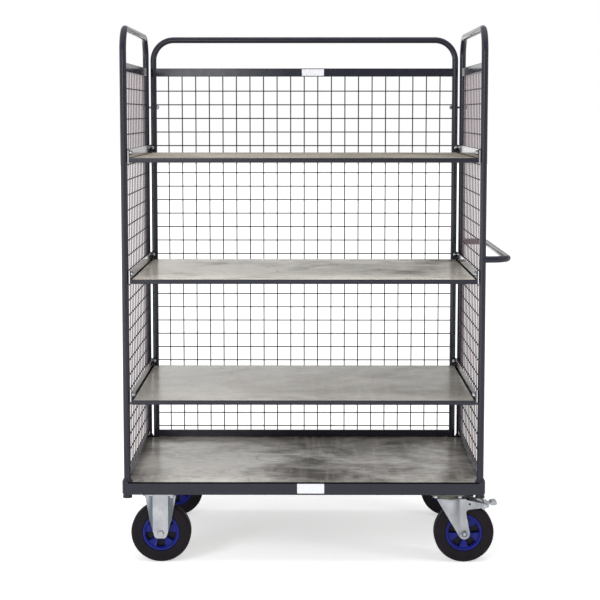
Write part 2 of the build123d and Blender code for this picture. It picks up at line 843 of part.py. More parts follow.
def wheel(row, end, place, first_angle):
    """The pieces that turn together on one axle."""
    return {
        f"{row}_{end}_tyre": place * tyre(),
        f"{row}_{end}_wheel_centre": place * wheel_centre(first_angle),
        f"{row}_{end}_roller_bearing": place * roller_bearing(),
    }


def castors():
    on_axle = Pos(0, 0, wheel_radius)
    trailing = Pos(swivel_trail, 0, wheel_radius)
    pieces = {
        "left_axle_bolts": at_castors(on_axle * axle_bolt(), "left"),
        "left_axle_nuts": at_castors(on_axle * axle_nut(), "left"),
        "left_axle_spacers": at_castors(on_axle * axle_spacer(), "left"),
        "swivel_top_plates": at_castors(swivel_plate(), "right"),
        "swivel_king_pins": at_castors(king_pin(), "right"),
    }
    ball_rings = [ball for ring in at_castors(swivel_balls(), "right") for ball in ring.solids()]
    pieces["swivel_balls"] = Compound(ball_rings)
    for row, side in (("front", -1), ("rear", 1)):
        left = Pos(-castor_x, side * castor_y, 0)
        right = Pos(castor_x, side * castor_y, 0)
        pieces[row + "_left_fork"] = left * fixed_fork()
        pieces[row + "_right_fork"] = right * swivel_fork()
        pieces[row + "_right_brake_pedal"] = right * brake_pedal()
        pieces[row + "_right_pedal_pin"] = right * pedal_pin()
        pieces[row + "_right_axle_bolt"] = right * trailing * axle_bolt()
        pieces[row + "_right_axle_nut"] = right * trailing * axle_nut()
        pieces[row + "_right_axle_spacer"] = right * trailing * axle_spacer()
        pieces.update(wheel(row, "left", left * on_axle, fixed_pocket_angle))
        pieces.update(wheel(row, "right", right * trailing, swivel_pocket_angle))
    return pieces


def trolley():
    """Every piece by its name."""
    pieces = base_rails()
    pieces["base_cross_channels"] = cross_channels()
    pieces["corner_sockets"] = corner_sockets()
    pieces["deck_board"] = deck_board()
    pieces["deck_screws"] = deck_screws()
    for name, side in ends.items():
        pieces[name + "_end_hoop"] = end_hoop(side)
    pieces["back_hoop"] = back_hoop()
    pieces["hoop_top_bars"] = hoop_bars(top_bar_height, top_bar_bottom, tube_radius)
    pieces["hoop_bottom_bars"] = hoop_bars(bottom_bar_height, deck_top, collar_radius)
    pieces.update(mesh_panels())
    pieces["push_handle"] = push_handle()
    pieces["hoop_bolts"] = hoop_bolts()
    pieces["hoop_nuts"] = hoop_nuts()
    for name, top in shelf_tops.items():
        pieces[name + "_shelf_frame"] = shelf_frame(top)
        pieces[name + "_shelf_board"] = shelf_board(top)
    pieces["shelf_end_plates"] = shelf_end_plates()
    pieces["shelf_rear_lugs"] = rear_lugs()
    pieces["shelf_bolts"] = shelf_bolts()
    pieces["castor_bolts"] = castor_bolts()
    pieces["castor_nuts"] = castor_nuts()
    pieces.update(castors())
    return pieces


os.makedirs("parts", exist_ok=True)
for node, shape in trolley().items():
    export_step(origin_shift * shape, f"parts/{node}.step")
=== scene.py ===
"""Surfaces and finishes of a three-sided shelf trolley, with its floor, light and camera."""

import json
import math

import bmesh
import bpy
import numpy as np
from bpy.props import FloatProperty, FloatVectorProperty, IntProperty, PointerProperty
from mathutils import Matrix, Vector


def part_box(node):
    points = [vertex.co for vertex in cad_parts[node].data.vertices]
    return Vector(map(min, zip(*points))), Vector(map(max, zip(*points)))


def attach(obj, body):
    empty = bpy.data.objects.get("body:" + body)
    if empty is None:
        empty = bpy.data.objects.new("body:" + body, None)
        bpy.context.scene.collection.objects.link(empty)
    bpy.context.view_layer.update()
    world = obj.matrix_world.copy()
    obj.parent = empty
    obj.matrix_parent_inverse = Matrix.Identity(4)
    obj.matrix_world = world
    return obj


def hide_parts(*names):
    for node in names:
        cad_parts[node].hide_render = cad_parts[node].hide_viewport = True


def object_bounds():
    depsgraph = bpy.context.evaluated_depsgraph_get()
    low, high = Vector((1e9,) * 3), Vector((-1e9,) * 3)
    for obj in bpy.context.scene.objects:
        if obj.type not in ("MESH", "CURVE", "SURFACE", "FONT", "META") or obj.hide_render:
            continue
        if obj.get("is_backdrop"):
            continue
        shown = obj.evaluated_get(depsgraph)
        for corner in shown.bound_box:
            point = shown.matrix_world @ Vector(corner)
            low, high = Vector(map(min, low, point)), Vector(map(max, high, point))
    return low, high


bl_info = {
    "name": "Shelf trolley",
    "version": (1, 0, 0),
    "blender": (4, 5, 0),
    "location": "View3D > Sidebar > Trolley",
    "description": "Builds the visible surfaces and finishes of a three-sided shelf trolley",
    "category": "Add Mesh",
}

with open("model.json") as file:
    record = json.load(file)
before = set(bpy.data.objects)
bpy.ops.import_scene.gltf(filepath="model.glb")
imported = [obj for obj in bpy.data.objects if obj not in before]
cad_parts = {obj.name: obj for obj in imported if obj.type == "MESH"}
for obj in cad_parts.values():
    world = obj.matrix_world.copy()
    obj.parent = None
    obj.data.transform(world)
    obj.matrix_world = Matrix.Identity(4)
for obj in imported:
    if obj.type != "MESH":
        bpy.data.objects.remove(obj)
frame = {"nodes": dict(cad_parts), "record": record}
cad_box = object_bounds()

SHELVES = ("lower", "middle", "top")
ROWS = ("front", "rear")
ENDS = ("left", "right")
WHEELS = tuple(f"{row}_{end}" for row in ROWS for end in ENDS)
CHASSIS = "chassis"
FULL_TURN = 2 * math.pi
UP = (0, 0, 1)
WHITE = (1.0, 1.0, 1.0, 1.0)


# Sizes, colours and stage values that a user would change


def number(name, description, default, **settings):
    """A number with its unit or limits."""
    return FloatProperty(name=name, description=description, default=default, **settings)


def length(name, description, default):
    """A length in metres."""
    return number(name, description, default, min=0.0, precision=4, unit="LENGTH")


def count(name, description, default, least):
    """A whole number with a lower limit."""
    return IntProperty(name=name, description=description, default=default, min=least)


def colour(name, description, red, green, blue):
    """A colour given in the 0 to 255 steps of a display, kept as linear light."""
    steps = np.array([red, green, blue]) / 255
    linear = np.where(steps > 0.04045, ((steps + 0.055) / 1.055) ** 2.4, steps / 12.92)
    return FloatVectorProperty(
        name=name, description=description, default=(*linear, 1.0), size=4, min=0.0, max=1.0, subtype="COLOR"
    )


class TrolleySizes(bpy.types.PropertyGroup):
    """Sizes of the visible surfaces that the solids' boxes don't give."""

    tube_radius: length("Tube radius", "Half the thickness of the bent tube", 0.0111)
    hoop_bend: length("Hoop bend", "Radius of the hoops' bends at the tube's middle", 0.075)
    handle_bend: length("Handle bend", "Radius of the handle's bends at the tube's middle", 0.060)
    tube_sides: count("Tube sides", "Faces round the bent tube", 32, 8)
    bend_steps: count("Bend steps", "Rings in each bend", 16, 4)
    bar_depth: length("Bar depth", "Thickness of the bars across the hoops", 0.012)
    bar_corner: length("Bar corner", "Rounding of the bars' edges", 0.002)
    mesh_pitch: length("Mesh pitch", "From one mesh wire to the next", 0.050)
    mesh_wire: length("Mesh wire", "Thickness of a mesh wire", 0.004)
    mesh_first_row: length("Mesh first row", "From the bottom bar to the lowest level wire", 0.016)
    mesh_lap: length("Mesh lap", "How deep crossing wires are welded into each other", 0.0004)
    steel: length("Steel", "Thickness of the rails, ledges and shelf edges", 0.003)
    steel_edge: length("Steel edge", "Rounding of cut and folded steel edges", 0.0009)
    # The rails' top edges are a dark strip of painted shade.
    rail_lip: length("Rail lip", "Height of the painted shade along the rails' top edges", 0.005)
    ledge_width: length("Ledge width", "Width of the rails' ledges under the deck", 0.030)
    shelf_flange: length("Shelf flange", "Width of the shelf edges under the board", 0.025)
    board_edge: length("Board edge", "Rounding of the boards' edges", 0.0012)
    plate_corner: length("Plate corner", "Rounding of the end plates' upper corners", 0.004)
    plate_foot: length("Plate foot", "Rounding of the end plates' lower corners", 0.0005)
    collar_radius: length("Collar radius", "Radius of the corner sockets' collars", 0.017)
    spigot_radius: length("Spigot radius", "Radius of the sockets below the rails", 0.0145)
    foot_radius: length("Foot radius", "Radius of the sockets' feet", 0.0157)
    cone_rise: length("Cone rise", "Height of the sockets' top cone", 0.010)
    dome_radius: length("Dome radius", "Radius of the shelf bolts' domed heads", 0.008)
    dome_collar: length("Dome collar", "Height of the collar under a domed head", 0.003)
    screw_radius: length("Screw radius", "Radius of the deck screws' heads", 0.005)
    pressed_edge: length("Pressed edge", "Rounding of the castors', bolts' and nuts' edges", 0.0006)
    tyre_shoulder: length("Tyre shoulder", "Rounding between a tyre's side and tread", 0.011)
    tyre_rib: length("Tyre rib", "Height of the ribs round a tyre's side", 0.0007)
    rim_width: length("Rim width", "Thickness of the wheel centres' rims", 0.009)
    rim_half: length("Rim half", "Half the width of a wheel centre's rim", 0.022)
    disc_half: length("Disc half", "Half the thickness of a wheel centre's disc", 0.017)
    web_half: length("Web half", "Half the thickness of the disc between two pockets' floors", 0.003)
    hub_radius: length("Hub radius", "Radius of the wheel centres' hubs", 0.021)
    bore_radius: length("Bore radius", "Radius of the hubs' bores", 0.016)
    pockets: count("Pockets", "Pockets on each face of a wheel centre", 5, 2)
    pocket_start: length("Pocket start", "From the axle to a pocket's inner end", 0.024)
    pocket_end: length("Pocket end", "From the axle to a pocket's outer end", 0.050)
    pocket_start_half: length("Pocket start half", "Half a pocket's width at its inner end", 0.009)
    pocket_end_half: length("Pocket end half", "Half a pocket's width at its outer end", 0.015)
    pocket_wall: length("Pocket wall", "Half the run of a pocket's sloping walls", 0.0011)
    spring_hole_reach: length("Spring hole reach", "From a swivel axle along to its fork's small hole", 0.017)
    spring_hole_rise: length("Spring hole rise", "From a swivel axle up to its fork's small hole", 0.101)
    # The dark disc round the swivel forks' small hole is painted shade.
    spring_hole_shade: length("Spring hole rim", "Radius of the dirt round that hole", 0.0038)
    # The dark ring on the swivel axles' ends is painted shade.
    axle_shade_ring_inner: length("Axle ring inner", "Inner radius of the dark ring on swivel axle ends", 0.0045)
    axle_shade_ring_outer: length("Axle ring outer", "Outer radius of the dark ring on swivel axle ends", 0.009)
    # Above this level the swivel head carries painted shade with its greasy film.
    grease_and_shade_drop: length("Grease drop", "How far below its balls a swivel head is greased", 0.005)
    label_thickness: length("Label thickness", "Thickness of the blank label plates", 0.0003)
    label_corner: length("Label corner", "Rounding of the label plates' corners", 0.002)
    rail_label_length: length("Rail label length", "Length of the front rail's label", 0.089)
    rail_label_height: length("Rail label height", "Height of the front rail's label", 0.032)
    rail_label_aside: length("Rail label aside", "From the deck's middle to the front rail's label", 0.023)
    bar_label_length: length("Bar label length", "Length of the top bar's label", 0.081)
    bar_label_height: length("Bar label height", "Height of the top bar's label", 0.024)
    bar_label_aside: length("Bar label aside", "From the deck's middle to the top bar's label", 0.032)


class TrolleyColours(bpy.types.PropertyGroup):
    """Main colour of each finish."""

    paint: colour("Paint", "Gloss powder coat on the frame", 35, 36, 47)
    # Painted shade along the rails' top edges
    lip: colour("Lip", "Painted shade along the base rails' top edges", 8, 8, 10)
    mesh_paint: colour("Mesh paint", "Powder coat on the mesh", 36, 28, 25)
    # Painted highlight on the end panels' upright wires
    mesh_highlight: colour("Mesh highlight", "Painted highlight on the end panels' upright wires", 122, 104, 110)
    dust: colour("Dust", "Dust that settles on the paint", 179, 177, 173)
    deck_dark: colour("Deck dark", "Dark smears of the deck board", 44, 41, 38)
    deck_middle: colour("Deck middle", "Ground colour of the deck board", 120, 114, 106)
    deck_light: colour("Deck light", "Pale patches of the deck board", 228, 222, 214)
    shelf_dark: colour("Shelf dark", "Dark smears of the shelf boards", 84, 81, 75)
    shelf_middle: colour("Shelf middle", "Ground colour of the shelf boards", 139, 133, 124)
    shelf_light: colour("Shelf light", "Pale patches of the shelf boards", 215, 208, 197)
    zinc: colour("Zinc", "Bright zinc plate", 194, 195, 199)
    zinc_shade: colour("Zinc shade", "Dull patches of the zinc plate", 160, 164, 169)
    # Painted shade on folded flanks and on the sides of axle heads
    zinc_fold_shade: colour("Zinc fold shade", "Painted shade on the fixed forks' folded flanks and the axles' heads", 90, 100, 108)
    # Painted shade: the colour that crevices, the swivel races' gaps and the swivel forks' small holes are
    # darkened to.
    crevice_shade: colour("Crevice shade", "Painted shade in the castors' crevices", 40, 39, 40)
    # Greasy film with painted shade under the swivel plates
    grease_and_shade: colour("Grease and shade", "Greasy film and painted shade on the swivel heads' races", 116, 114, 104)
    bearing: colour("Bearing", "Oiled bearing steel", 150, 150, 152)
    rubber: colour("Rubber", "Black tyre rubber", 17, 12, 18)
    plastic: colour("Plastic", "Blue moulded wheel centres", 24, 33, 124)
    # Painted shade in the wheel centres' pockets
    pocket: colour("Pocket", "Painted shade in the wheel centres' pockets", 18, 16, 24)
    label: colour("Label", "Blank label plates", 236, 237, 240)


class TrolleyStage(bpy.types.PropertyGroup):
    """Camera and light."""

    camera_side: number("Camera side", "Camera's place along X", -0.029, unit="LENGTH")
    camera_back: number("Camera back", "Camera's place along Y", -5.393, unit="LENGTH")
    camera_height: length("Camera height", "Camera's height above the floor", 1.496)
    camera_pitch: number("Camera pitch", "How far the camera looks down", 0.0972, subtype="ANGLE")
    camera_turn: number("Camera turn", "How far the camera turns to the left", 0.0048, subtype="ANGLE")
    camera_lens: number("Lens", "Focal length in millimetres", 93.1, min=10.0)
    camera_sensor: number("Sensor", "Width of the sensor in millimetres", 36.0, min=1.0)
    camera_shift: number("Lens shift", "Vertical shift of the lens", -0.06)
    room_light: number("Room light", "Strength of the light from all round", 0.45)
    floor_radius: length("Floor radius", "Radius of the floor", 40.0)
    floor_shade: number("Floor shade", "Share of light that the floor throws back", 0.82, min=0.0, max=1.0)


def sizes():
    return bpy.context.scene.trolley_sizes


def colours():
    return bpy.context.scene.trolley_colours


def stage():
    return bpy.context.scene.trolley_stage


# Surfaces


def corners(node):
    """The lowest and highest corner of a solid's box, as arrays."""
    low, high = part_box(node)
    return np.array(low), np.array(high)


def middle_of(node):
    """The middle of a solid's box."""
    low, high = corners(node)
    return (low + high) / 2


def half_of(node):
    """Half the size of a solid's box."""
    low, high = corners(node)
    return (high - low) / 2


def signed_volume(points, faces):
    """A sixth of the sum, over every face's fan of triangles, of the triple product of its corners."""
    total = 0.0
    for block in faces:
        first = points[block[:, 0]]
        for step in range(1, block.shape[1] - 1):
            total += np.sum(first * np.cross(points[block[:, step]], points[block[:, step + 1]]))
    return total / 6


def outward(points, faces):
    """A closed shell with its faces turned outwards: all are reversed where its volume comes out negative."""
    if signed_volume(points, faces) < 0:
        faces = [block[:, ::-1] for block in faces]
    return points, faces


def quads(rows, columns, closed_rows=False):
    """Faces between neighbouring points of a grid of rings, whose last row may join its first."""
    i = np.arange(rows if closed_rows else rows - 1)[:, None]
    j = np.arange(columns)[None, :]
    here = i * columns
    below = (i + 1) % rows * columns
    beside = (j + 1) % columns
    block = np.stack([here + j, below + j, below + beside, here + beside], axis=-1)
    return block.reshape(-1, 4)


def capped(grid):
    """A stack of rings joined by quads, with one face over each end."""
    rows, columns = grid.shape[:2]
    ring = np.arange(columns)
    ends = np.stack([ring, ring[::-1] + (rows - 1) * columns])
    return outward(grid.reshape(-1, 3), [quads(rows, columns), ends])


def looped(grid):
    """A stack of rings joined by quads, its last ring joined to its first."""
    rows, columns = grid.shape[:2]
    return outward(grid.reshape(-1, 3), [quads(rows, columns, closed_rows=True)])


def circle(radius, sides):
    """Points at (r cos a, r sin a), a in even steps."""
    angle = np.arange(sides) * FULL_TURN / sides
    return radius * np.stack([np.cos(angle), np.sin(angle)], axis=-1)


def arc(centre, radius, start, end, steps):
    """Points on a circle from one angle to another, in degrees."""
    angle = np.radians(np.linspace(start, end, steps + 1))
    return np.asarray(centre) + radius * np.stack([np.cos(angle), np.sin(angle)], axis=-1)


def rectangle(width, height):
    """Corners of a rectangle about the origin."""
    return np.array([[-1, -1], [1, -1], [1, 1], [-1, 1]]) * np.array([width, height]) / 2


def rounded(outline, radius, steps=3):
    """A closed outline with curved corners: (1-s)^2 A + 2s(1-s) P + s^2 B, A and B a radius from corner P."""
    corner = np.asarray(outline, float)
    before = np.roll(corner, 1, axis=0) - corner
    after = np.roll(corner, -1, axis=0) - corner
    radius = np.broadcast_to(radius, len(corner))[:, None]
    start = (corner + radius * before / np.linalg.norm(before, axis=1, keepdims=True))[:, None]
    end = (corner + radius * after / np.linalg.norm(after, axis=1, keepdims=True))[:, None]
    s = np.linspace(0, 1, steps + 1)[None, :, None]
    curve = (1 - s) ** 2 * start + 2 * s * (1 - s) * corner[:, None] + s**2 * end
    return curve.reshape(-1, 2)


def carry(section, path, across, up):
    """A closed section of (a, b) points carried along a path: P = C + a * across + b * up."""
    a = section[None, :, :1]
    b = section[None, :, 1:]
    return capped(path[:, None] + a * across[:, None] + b * up[:, None])


def straight(section, start, end, up=UP):
    """A section carried along a straight line, its second coordinate along up."""
    path = np.array([start, end], float)
    along = (path[1] - path[0]) / np.linalg.norm(path[1] - path[0])
    across = np.cross(up, along)
    return carry(section, path, np.tile(across, (2, 1)), np.tile(np.asarray(up, float), (2, 1)))


def bent_path(corner, bend, steps):
    """Straight runs joined by arcs M + bend * (in * sin t - out * cos t), with t up to a right angle."""
    corner = np.asarray(corner, float)
    runs = np.diff(corner, axis=0)
    ways = runs / np.linalg.norm(runs, axis=1, keepdims=True)
    into = ways[:-1, None]
    out = ways[1:, None]
    turn = np.linspace(0, math.pi / 2, steps + 1)[None, :, None]
    middle = corner[1:-1, None] + bend * (out - into)
    arcs = middle + bend * (into * np.sin(turn) - out * np.cos(turn))
    tangents = into * np.cos(turn) + out * np.sin(turn)
    path = np.concatenate([corner[:1], arcs.reshape(-1, 3), corner[-1:]])
    along = np.concatenate([ways[:1], tangents.reshape(-1, 3), ways[-1:]])
    return path, along


def bent_tube(corner, bend):
    """A round section carried along a flat bent path, square to the path and to the path's plane."""
    path, along = bent_path(corner, bend, sizes().bend_steps)
    plane = np.cross(along[0], along[len(along) // 2])
    up = np.tile(plane / np.linalg.norm(plane), (len(path), 1))
    return carry(circle(sizes().tube_radius, sizes().tube_sides), path, np.cross(up, along), up)


def slab(outline, low, high, edge, axes=(0, 1, 2)):
    """A plate between two levels, drawn in by e(1 - sin t) where its rim has risen by e(1 - cos t)."""
    rings = 4
    outline = np.asarray(outline, float)
    ahead = np.roll(outline, -1, axis=0) - outline
    ahead = ahead / np.linalg.norm(ahead, axis=1, keepdims=True)
    next_normal = np.stack([ahead[:, 1], -ahead[:, 0]], axis=-1)
    last_normal = np.roll(next_normal, 1, axis=0)
    mitre = (next_normal + last_normal) / (1 + np.sum(next_normal * last_normal, axis=1, keepdims=True))
    t = np.linspace(0, math.pi / 2, rings)
    inset = edge * (1 - np.sin(t))
    rise = edge * (1 - np.cos(t))
    insets = np.concatenate([inset, inset[::-1]])
    levels = np.concatenate([low + rise, high - rise[::-1]])
    flat = outline[None] - insets[:, None, None] * mitre[None]
    grid = np.empty((*flat.shape[:2], 3))
    grid[..., axes[0]] = flat[..., 0]
    grid[..., axes[1]] = flat[..., 1]
    grid[..., axes[2]] = levels[:, None]
    return capped(grid)


def turned_grid(profile, centre, axis, segments):
    """A profile of (radius, along) turned about an axis: P = C + r cos a * U + r sin a * V + h * W."""
    profile = np.asarray(profile, float)
    angle = np.arange(segments) * FULL_TURN / segments
    u, v, w = np.roll(np.eye(3), 2 - axis, axis=0)
    ring = np.cos(angle)[:, None] * u + np.sin(angle)[:, None] * v
    return np.asarray(centre) + profile[:, :1, None] * ring[None] + profile[:, 1:, None] * w


# Shader nodes


def add_node(tree, kind, inputs=None, **settings):
    """A node with its settings, its inputs set to values or linked from other sockets."""
    made = tree.nodes.new(kind)
    for key, value in settings.items():
        setattr(made, key, value)
    for key, value in (inputs or {}).items():
        if isinstance(value, bpy.types.NodeSocket):
            tree.links.new(value, made.inputs[key])
        else:
            made.inputs[key].default_value = value
    return made


def mix_colours(tree, factor, first, second):
    """A colour between two colours, by a factor."""
    return add_node(tree, "ShaderNodeMix", {0: factor, 6: first, 7: second}, data_type="RGBA").outputs[2]


def mix_values(tree, factor, first, second):
    """A value between two values, by a factor."""
    return add_node(tree, "ShaderNodeMix", {0: factor, 2: first, 3: second}).outputs[0]


def spread(tree, value, low, high, to_low, to_high):
    """A value's range carried to another range and held within it."""
    inputs = {"Value": value, "From Min": low, "From Max": high, "To Min": to_low, "To Max": to_high}
    return add_node(tree, "ShaderNodeMapRange", inputs).outputs["Result"]


def between(tree, share, low, high):
    """A share from 0 to 1 of the way from one value to another."""
    return spread(tree, share, 0.0, 1.0, low, high)


def math_node(tree, operation, first, second=0.0):
    """One step of arithmetic on two values."""
    return add_node(tree, "ShaderNodeMath", {0: first, 1: second}, operation=operation).outputs[0]


def vector_node(tree, operation, first, second=(0.0, 0.0, 0.0)):
    """One step of arithmetic on two vectors: its outputs are a vector and a value."""
    return add_node(tree, "ShaderNodeVectorMath", {0: first, 1: second}, operation=operation).outputs


def own_place(tree):
    """Where a point lies in its object's own coordinates."""
    return add_node(tree, "ShaderNodeTexCoord").outputs["Object"]


def coordinate(tree, vector, axis):
    """One coordinate of a vector."""
    return add_node(tree, "ShaderNodeSeparateXYZ", {0: vector}).outputs[axis]


def noise(tree, vector, **inputs):
    """Smooth noise about 0.5."""
    return add_node(tree, "ShaderNodeTexNoise", {"Vector": vector, **inputs}).outputs["Fac"]


def new_group(name, output, kind="NodeSocketFloat", **inputs):
    """An empty shader group with one output and with inputs given by their defaults, and its end sockets."""
    group = bpy.data.node_groups.new(name, "ShaderNodeTree")
    for label, default in inputs.items():
        input_kind = "NodeSocketVector" if isinstance(default, tuple) else "NodeSocketFloat"
        socket = group.interface.new_socket(label, in_out="INPUT", socket_type=input_kind)
        socket.default_value = default
    group.interface.new_socket(output, in_out="OUTPUT", socket_type=kind)
    return group, group.nodes.new("NodeGroupInput").outputs, group.nodes.new("NodeGroupOutput").inputs[0]


def mottle_group():
    """Soft patches: noise on the object's own coordinates, stretched each way and spread from 0 to 1."""
    group, given, result = new_group(
        "Mottle", "Patches", Scale=10.0, Stretch=(1.0, 1.0, 1.0), Detail=4.0, Sharpness=0.5, Warp=0.0
    )
    stretched = vector_node(group, "MULTIPLY", own_place(group), given["Stretch"])[0]
    inputs = {"Scale": "Scale", "Detail": "Detail", "Roughness": "Sharpness", "Distortion": "Warp"}
    patches = noise(group, stretched, **{name: given[source] for name, source in inputs.items()})
    group.links.new(spread(group, patches, 0.28, 0.72, 0.0, 1.0), result)
    return group


def grain_group():
    """Fine relief of a surface: noise at one scale, put out as a bumped normal."""
    group, given, result = new_group(
        "Grain", "Normal", "NodeSocketVector", Scale=400.0, Strength=0.1, Depth=0.0003
    )
    relief = noise(group, own_place(group), Scale=given["Scale"], Detail=2.0)
    inputs = {"Height": relief, "Strength": given["Strength"], "Distance": given["Depth"]}
    group.links.new(add_node(group, "ShaderNodeBump", inputs).outputs["Normal"], result)
    return group


def dust_group():
    """Dust that settles: faces that look up, broken up by noise."""
    group, given, result = new_group("Dust", "Cover", Amount=0.2, Scale=30.0)
    normal = add_node(group, "ShaderNodeNewGeometry").outputs["Normal"]
    facing = spread(group, coordinate(group, normal, "Z"), 0.2, 1.0, 0.0, 1.0)
    broken = noise(group, own_place(group), Scale=given["Scale"], Detail=5.0)
    patches = math_node(group, "MULTIPLY", facing, spread(group, broken, 0.35, 0.75, 0.0, 1.0))
    group.links.new(math_node(group, "MULTIPLY", patches, given["Amount"]), result)
    return group


def scuff_group():
    """Thin scratches: noise drawn out along one way, of which only the narrow peaks are kept."""
    group, given, result = new_group(
        "Scuffs", "Lines", Scale=40.0, Stretch=(0.03, 1.0, 1.0), Warp=0.3, Reach=0.66
    )
    stretched = vector_node(group, "MULTIPLY", own_place(group), given["Stretch"])[0]
    drawn = noise(group, stretched, Scale=given["Scale"], Detail=3.0, Distortion=given["Warp"])
    above = math_node(group, "ADD", given["Reach"], 0.08)
    group.links.new(spread(group, drawn, given["Reach"], above, 0.0, 1.0), result)
    return group


def hairline_group():
    """Curved hairlines: where one smooth noise crosses its middle value, kept only in patches of another."""
    group, given, result = new_group("Hairlines", "Lines", Scale=3.0, Width=0.002)
    place = own_place(group)
    smooth = noise(group, place, Scale=given["Scale"], Detail=1.0)
    away = math_node(group, "ABSOLUTE", math_node(group, "SUBTRACT", smooth, 0.5))
    line = spread(group, away, 0.0, given["Width"], 1.0, 0.0)
    kept = spread(group, noise(group, place, Scale=5.0, Detail=2.0), 0.52, 0.6, 0.0, 1.0)
    group.links.new(math_node(group, "MULTIPLY", line, kept), result)
    return group


EFFECTS = {
    "Mottle": mottle_group,
    "Grain": grain_group,
    "Dust": dust_group,
    "Scuffs": scuff_group,
    "Hairlines": hairline_group,
}


def effect(tree, name, **inputs):
    """One of the shared effects, placed in a material with its own values."""
    group = bpy.data.node_groups.get(name) or EFFECTS[name]()
    return add_node(tree, "ShaderNodeGroup", inputs, node_tree=group).outputs[0]


# Finishes


def new_material(name, **values):
    """A material with only a Principled shader, its tree, and a function that links into that shader.

    Values are for the shader's own sockets, their names written with underscores.
    """
    made = bpy.data.materials.new(name)
    made.use_nodes = True
    tree = made.node_tree
    sockets = tree.nodes["Principled BSDF"].inputs
    for socket, value in values.items():
        sockets[socket.replace("_", " ")].default_value = value

    def link(socket, value):
        tree.links.new(value, sockets[socket])

    return made, tree, link


def scaled(shade, factor, lift=0.0):
    """A colour times a factor, which may be one for each channel, plus a lift."""
    return [*(np.multiply(shade[:3], factor) + lift), 1.0]


def painted(name, base, low, high, shine=0.38, coat=0.0):
    """Gloss powder coat: slight patches in colour and gloss, orange peel and settled dust."""
    made, tree, link = new_material(name, Specular_IOR_Level=shine, Coat_Weight=coat, Coat_Roughness=low)
    patches = effect(tree, "Mottle", Scale=9.0, Detail=5.0)
    paint = mix_colours(tree, patches, scaled(base, 0.86), base)
    dust = effect(tree, "Dust", Amount=0.08, Scale=24.0)
    smears = effect(tree, "Mottle", Scale=38.0, Detail=6.0, Stretch=(1.0, 1.0, 0.5))
    link("Base Color", mix_colours(tree, dust, paint, colours().dust))
    link("Roughness", between(tree, smears, low, high))
    link("Normal", effect(tree, "Grain", Scale=320.0, Strength=0.02, Depth=0.0003))
    return made


def frame_paint():
    return painted("Frame paint", colours().paint, 0.13, 0.19)


# A dark strip of painted shade along the base rails' top edges.
def lip_shade_paint():
    return painted("Lip shade paint", colours().lip, 0.7, 0.85, shine=0.05)


def plate_paint():
    return painted("Plate paint", colours().paint, 0.1, 0.15, shine=0.5, coat=1.0)


def mesh_paint():
    return painted("Mesh paint", colours().mesh_paint, 0.45, 0.6, shine=0.2)


# The end panels' upright wires: a paler copy of the mesh paint, a painted highlight for the light they catch.
def highlit_mesh_paint():
    return painted("Highlit mesh paint", colours().mesh_highlight, 0.24, 0.36)


def wear_and_light_along(tree, axis, tone_by_place):
    """How pale the boards are along one way, from wear and painted light and shade: the table holds places
    from 0 to 1 with the paleness there.
    """
    low, high = corners("deck_board")
    share = spread(tree, coordinate(tree, own_place(tree), axis), low[axis], high[axis], 0.0, 1.0)
    ramp = add_node(tree, "ShaderNodeValToRGB", {0: share})
    stops = ramp.color_ramp.elements
    while len(stops) < len(tone_by_place):
        stops.new(0.5)
    for stop, (position, pale) in zip(stops, tone_by_place):
        stop.position = position
        stop.color = (pale, pale, pale, 1.0)
    return ramp.outputs["Color"]


